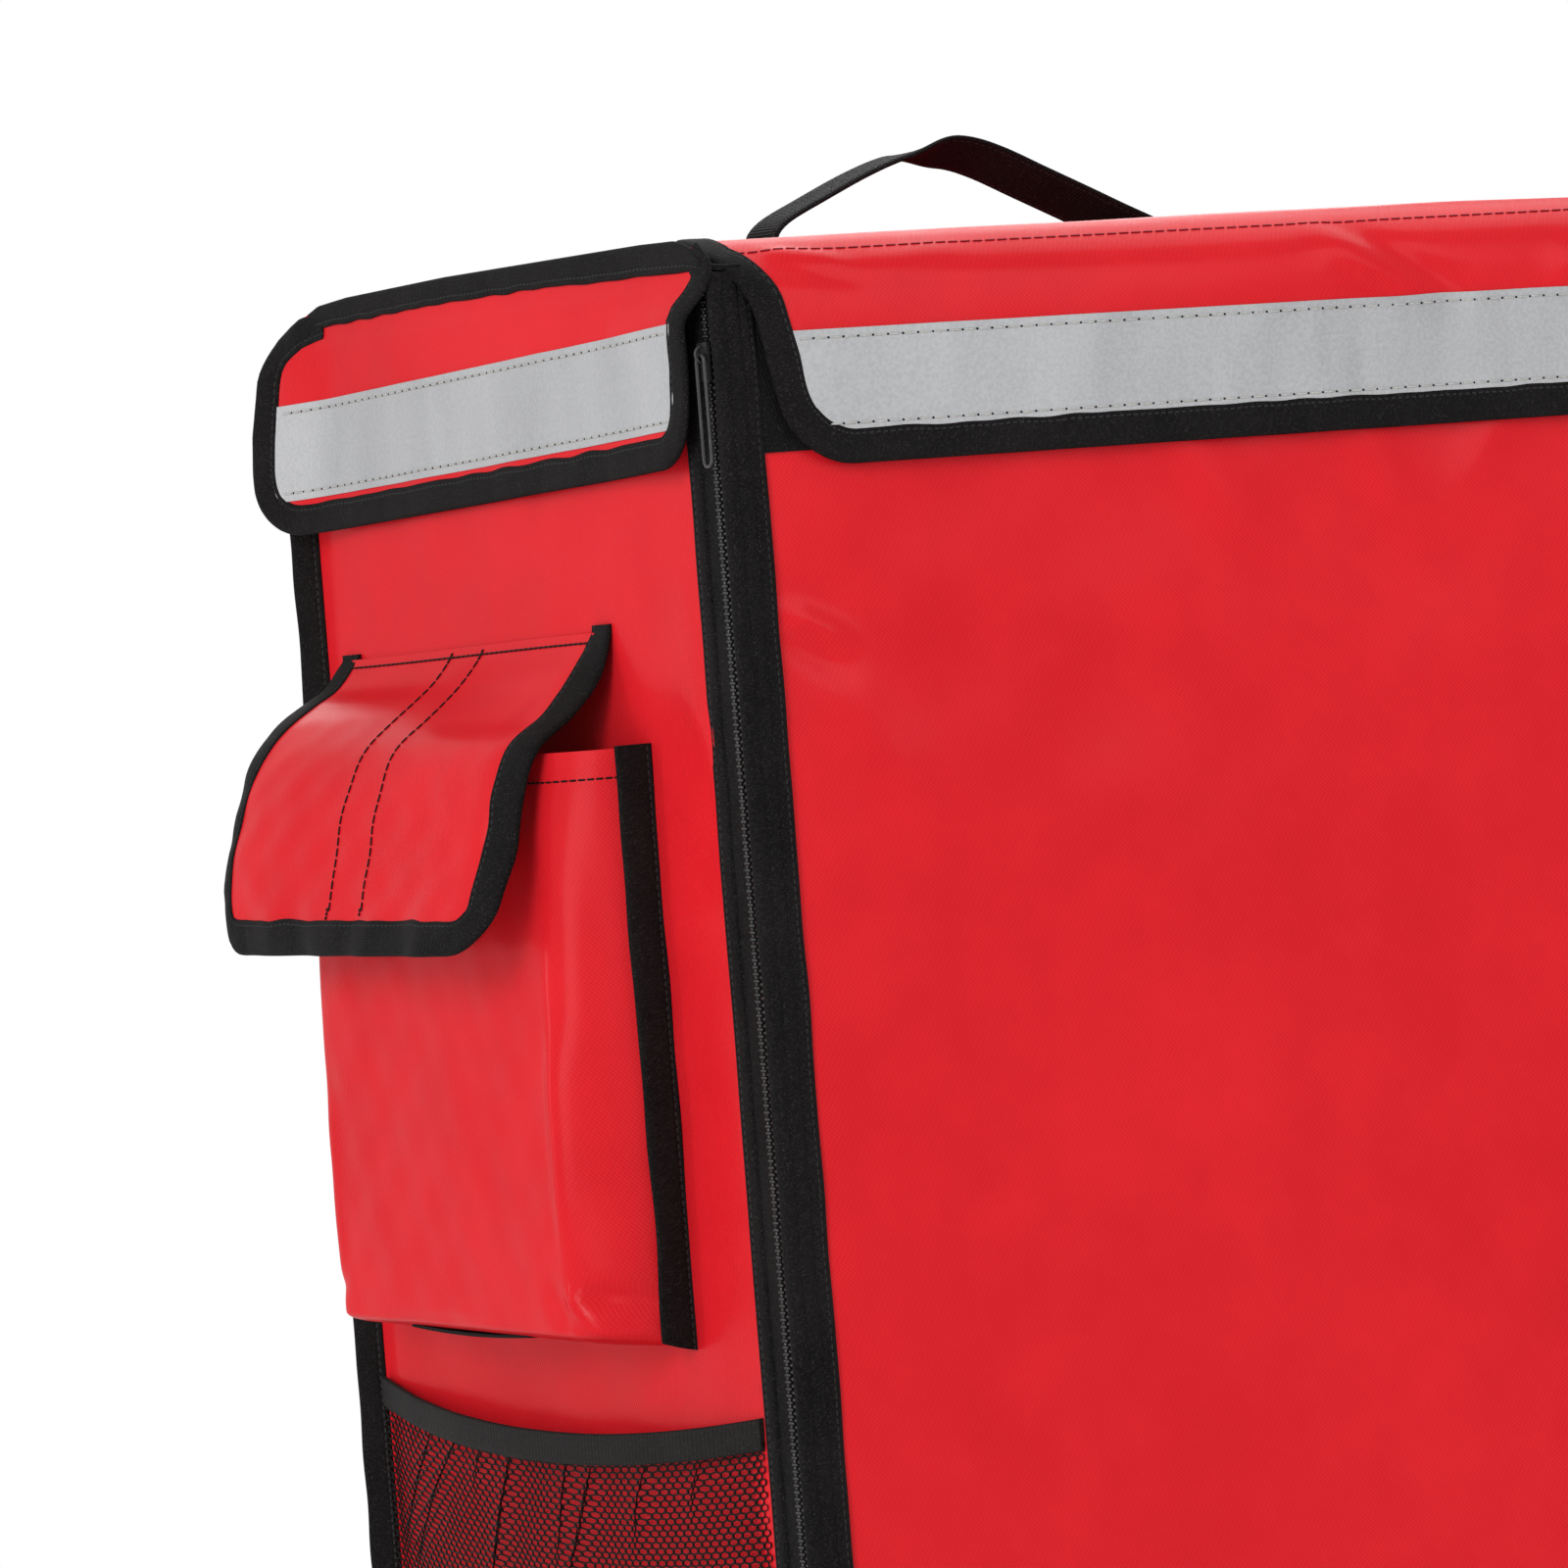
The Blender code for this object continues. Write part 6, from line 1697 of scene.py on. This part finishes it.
def back_pads():
    """Air-mesh pads that lie on the back wall, quilted across."""
    face = 0.1778
    surface = lambda a, b: np.stack([PAD_X - a + 0 * b, face + 0.0012 + 0 * a * b, b + 0 * a], axis=-1)
    lines = [0.075 + 0.400 * k / 6 for k in range(1, 6)]

    def top(inset, a, b):
        puff = 0.0005 + 0.0095 * smoothstep(inset, 0.0065, 0.0225)
        groove = sum(np.exp(-((b - line) / 0.0045) ** 2) for line in lines)
        return np.maximum(puff * (1 - 0.55 * np.minimum(groove, 1)), 0.0005)

    channels = [lambda a, b, line=line: np.abs(b - line) < 0.0022 for line in lines]
    channels.append(lambda a, b: (np.abs(a) > 0.0430) | (np.abs(b - 0.275) > 0.1905))
    pad, held = pillow("back_pad_left_mesh", surface, 0.0515, 0.0760, 0.4740, 0.022, top,
                       lambda inset, a, b: 0.0010 + 0 * a, 33, 121, MESH, channels)
    count = len(pad.data.vertices) // 2
    inflate(pad, np.unique(np.concatenate([held, np.arange(count, 2 * count)])), 4.0, 0.0045, 0.03)
    points = np.zeros(len(pad.data.vertices) * 3)
    pad.data.vertices.foreach_get("co", points)
    points = points.reshape(-1, 3)
    points[:, 1] = np.clip(points[:, 1], face + 0.0001, 0.1916)
    pad.data.vertices.foreach_set("co", points.ravel())
    route = rounded(0.0522, 0.0752, 0.4748, 0.0227)
    tape = edge_tape("back_pad_left_tape", surface, route, 0.0080, 0.0022, 311)
    stitches = Bits()
    for line in lines:
        a = np.linspace(-0.043, 0.043, 60)
        b = np.full_like(a, line)
        at = surface(a, b)
        at[:, 1] += top(np.full_like(a, 0.03), a, b)
        stitches.stitches(at + np.array([0, 0.0001, 0]), np.tile((0, 1.0, 0), (60, 1)), pitch=0.0036,
                          radius=0.00034)
    sewn = stitches.build("back_pad_left_stitches", BLACK_THREAD)
    put_on_both_sides(pad, "black_air_mesh", "_mesh", 0.7)
    put_on_both_sides(tape, "black_binding")
    put_on_both_sides(sewn, "black_binding")


STRAP_PATH = resample(np.maximum(spline([(0.1861, 0.5085), (0.1861, 0.5283), (0.1917, 0.53985),
                                         (0.2037, 0.5448), (0.2181, 0.5349), (0.2397, 0.4920),
                                         (0.2605, 0.4194), (0.2661, 0.3435), (0.2565, 0.2676),
                                         (0.2389, 0.1950)], 16), (0.1861, 0.0)), 0.0020)
STRAP_DISTANCE = lengths(STRAP_PATH)
STRAP_TANGENT = unit(np.gradient(STRAP_PATH, axis=0))


def strap_surface(a, b):
    """Middle surface of the left shoulder strap. a runs across it and b along it."""
    y = np.interp(b, STRAP_DISTANCE, STRAP_PATH[:, 0])
    z = np.interp(b, STRAP_DISTANCE, STRAP_PATH[:, 1])
    over = np.maximum(b - STRAP_DISTANCE[-1], 0) - np.maximum(-b, 0)
    ty = np.interp(b, STRAP_DISTANCE, STRAP_TANGENT[:, 0])
    tz = np.interp(b, STRAP_DISTANCE, STRAP_TANGENT[:, 1])
    return np.stack([a + PAD_X + 0 * b, y + ty * over + 0 * a, z + tz * over + 0 * a], axis=-1)


def flat_webbing(name, path):
    """Lay a flat webbing along (y, z) points."""
    half, thickness = 0.0122, 0.0013
    path = np.asarray(path, float)
    tangent = unit(np.gradient(path, axis=0))
    normal = np.stack([-tangent[:, 1], tangent[:, 0]], axis=1)
    thick = WEBBING_HEIGHT * thickness / 2
    rings = np.zeros((len(path), len(WEBBING_ACROSS), 3))
    rings[..., 0] = PAD_X + half * WEBBING_ACROSS[None]
    rings[..., 1] = path[:, None, 0] + normal[:, None, 0] * thick[None]
    rings[..., 2] = path[:, None, 1] + normal[:, None, 1] * thick[None]
    edge = half * (1 - np.abs(WEBBING_ACROSS))
    return tube(name, rings, uv_grid(lengths(path), edge), WEBBING, closed_ring=True)


def box_stitches(low, high, depth, name):
    """Sew a box and its diagonals. low and high are (x, z) corners and depth is y."""
    line = Bits()
    for start, end in box_lines(low[0], high[0], low[1], high[1]):
        t = np.linspace(0, 1, 20)
        at = np.stack([start[0] + (end[0] - start[0]) * t, np.full(20, depth),
                       start[1] + (end[1] - start[1]) * t],
                      axis=1)
        line.stitches(at, np.tile((0, 1.0, 0), (20, 1)), pitch=0.0030, radius=0.00034)
    return line.build(name, BLACK_THREAD)


def shoulder_straps():
    """Padded straps with bound edges and a webbing down the outer face, and the webbing below them."""
    length = STRAP_DISTANCE[-1]

    def puff(inset, a, b):
        share = 0.55 + 0.45 * smoothstep(b, 0.018, 0.036)
        return 0.0011 + 0.0030 * smoothstep(inset, 0.0045, 0.014) * share

    channels = [lambda a, b: (np.abs(a) < 0.0146) & (b > 0.036)]
    body, held = pillow("shoulder_strap_left_pad", strap_surface, 0.0300, 0.001, length - 0.0005, 0.010,
                        puff, puff, 25, 151, MESH, channels, [lambda a, b: b < 0.022])
    inflate(body, held, 4.0, 0.0016, 0.02)
    route = rounded(0.0306, 0.0006, length - 0.0001, 0.0105)
    tape = edge_tape("shoulder_strap_left_tape", strap_surface, route, 0.0065, 0.0040, 321)
    b = np.arange(0.050, length + 0.0001, 0.0020)
    small = 0.0006
    at = strap_surface(np.zeros_like(b), b)
    along = unit(strap_surface(np.zeros_like(b), b + small) - strap_surface(np.zeros_like(b), b - small))
    outer = np.stack([-along[:, 2], along[:, 1]], axis=1)
    face = at[:, 1:] + outer * 0.0046
    lock = np.array([0.2389, 0.1742])
    turn = [(lock[0] + 0.00265 * math.cos(t), lock[1] + 0.00775 - 0.00265 * math.sin(t))
            for t in np.linspace(0, math.pi, 9)]
    loop = [(lock[0] + 0.0040, lock[1] + 0.0165)] + turn + [(lock[0] - 0.0030, lock[1] + 0.0150),
                                                           (lock[0] - 0.0022, lock[1] + 0.0230)]
    route = resample(spline(np.concatenate([face[::6], loop]), 6), 0.0015)
    webbing = flat_webbing("shoulder_strap_left_webbing", route)
    lines = Bits()
    for offset in (-0.0100, 0.0100):
        a = np.full_like(b, offset)
        path = np.concatenate([a[:, None] + PAD_X, face + outer * 0.0008], axis=1)
        facing = np.concatenate([0 * b[:, None], outer], axis=1)
        lines.stitches(path, facing, pitch=0.0036, radius=0.00034)
    sewn = lines.build("shoulder_strap_left_stitches", BLACK_THREAD)
    cy, cz = lock
    back_y = cy - 0.00275
    rise = back_y - 0.1785
    climb = spline([(0.1788, 0.030), (0.1788, 0.037), (0.1788, 0.045), (0.1785 + 0.30 * rise, 0.060),
                    (0.1785 + 0.80 * rise, cz - 0.030), (back_y, cz - 0.015), (back_y, cz)], 8)
    climb[:, 0] = np.maximum(climb[:, 0], 0.1788)
    over = [(cy + sign * 0.00175 - 0.0010 * math.cos(math.pi / 2 * (step / 3 + (sign + 1) / 2)),
             cz + 0.00225 + 0.0010 * math.sin(math.pi / 2 * (step / 3 + (sign + 1) / 2)))
            for sign in (-1, 1) for step in range(4)]
    tail = spline([(cy + 0.00275, cz), (cy + 0.00275, cz - 0.015), (cy + 0.0036, cz - 0.045),
                   (cy + 0.00415, cz - 0.075)], 8)
    lower = flat_webbing("lower_webbing_left_strap", np.concatenate([climb, over, tail]))
    foot = box_stitches((-0.0845, 0.0325), (-0.0655, 0.0440), 0.1793, "lower_webbing_left_stitches")
    put_on_both_sides(body, "black_air_mesh", "_pad", 0.6)
    put_on_both_sides(tape, "black_binding")
    put_on_both_sides(webbing, "black_webbing")
    put_on_both_sides(sewn, "black_webbing")
    put_on_both_sides(lower, "black_webbing", "_strap")
    put_on_both_sides(foot, "black_webbing")
    surface = lambda a, b: np.stack([a + 0 * b, 0.1790 + 0 * a * b, b + 0 * a], axis=-1)
    x, z = grid(-0.1135, 0.1135, 80, 0.5065, 0.5635, 24)
    points = surface(x, z)
    points[..., 1] += 0.00025 * waves(x, z, 0.06, 331)
    panel = cloth("yoke_cloth", points, 0.0014, WEBBING, x, z)
    finish_piece(panel, "shell", "black_webbing", "strap_yoke")
    edge = edge_tape("yoke_tape", surface, rounded(0.1148, 0.5052, 0.5648, 0.006), 0.0090, 0.0024, 333)
    finish_piece(edge, "shell", "black_binding")
    for name, middle in (("left", PAD_X), ("right", -PAD_X)):
        finish_piece(box_stitches((middle - 0.020, 0.5125), (middle + 0.020, 0.5265), 0.1890,
                                  "yoke_" + name + "_stitches"), "shell", "black_webbing")


shell_walls()
foil_tub()
back_fins()
base_tape()
zip_halves(-1)
zip_halves(1)
front_side()
side_flap(-1)
side_flap(1)
lid_cover()
lid_sides()
lid_inside()
fabric_hinges()
pocket()
pocket_flap()
net(-1)
net(1)
handle()
back_pads()
shoulder_straps()

for node, look in (("left_zip_slider", METAL), ("right_zip_slider", METAL),
                   ("left_zip_puller", METAL), ("right_zip_puller", METAL),
                   ("ladder_lock_left", PLASTIC), ("ladder_lock_right", PLASTIC)):
    mesh = NODES[node].data
    mesh.materials.clear()
    mesh.materials.append(look)
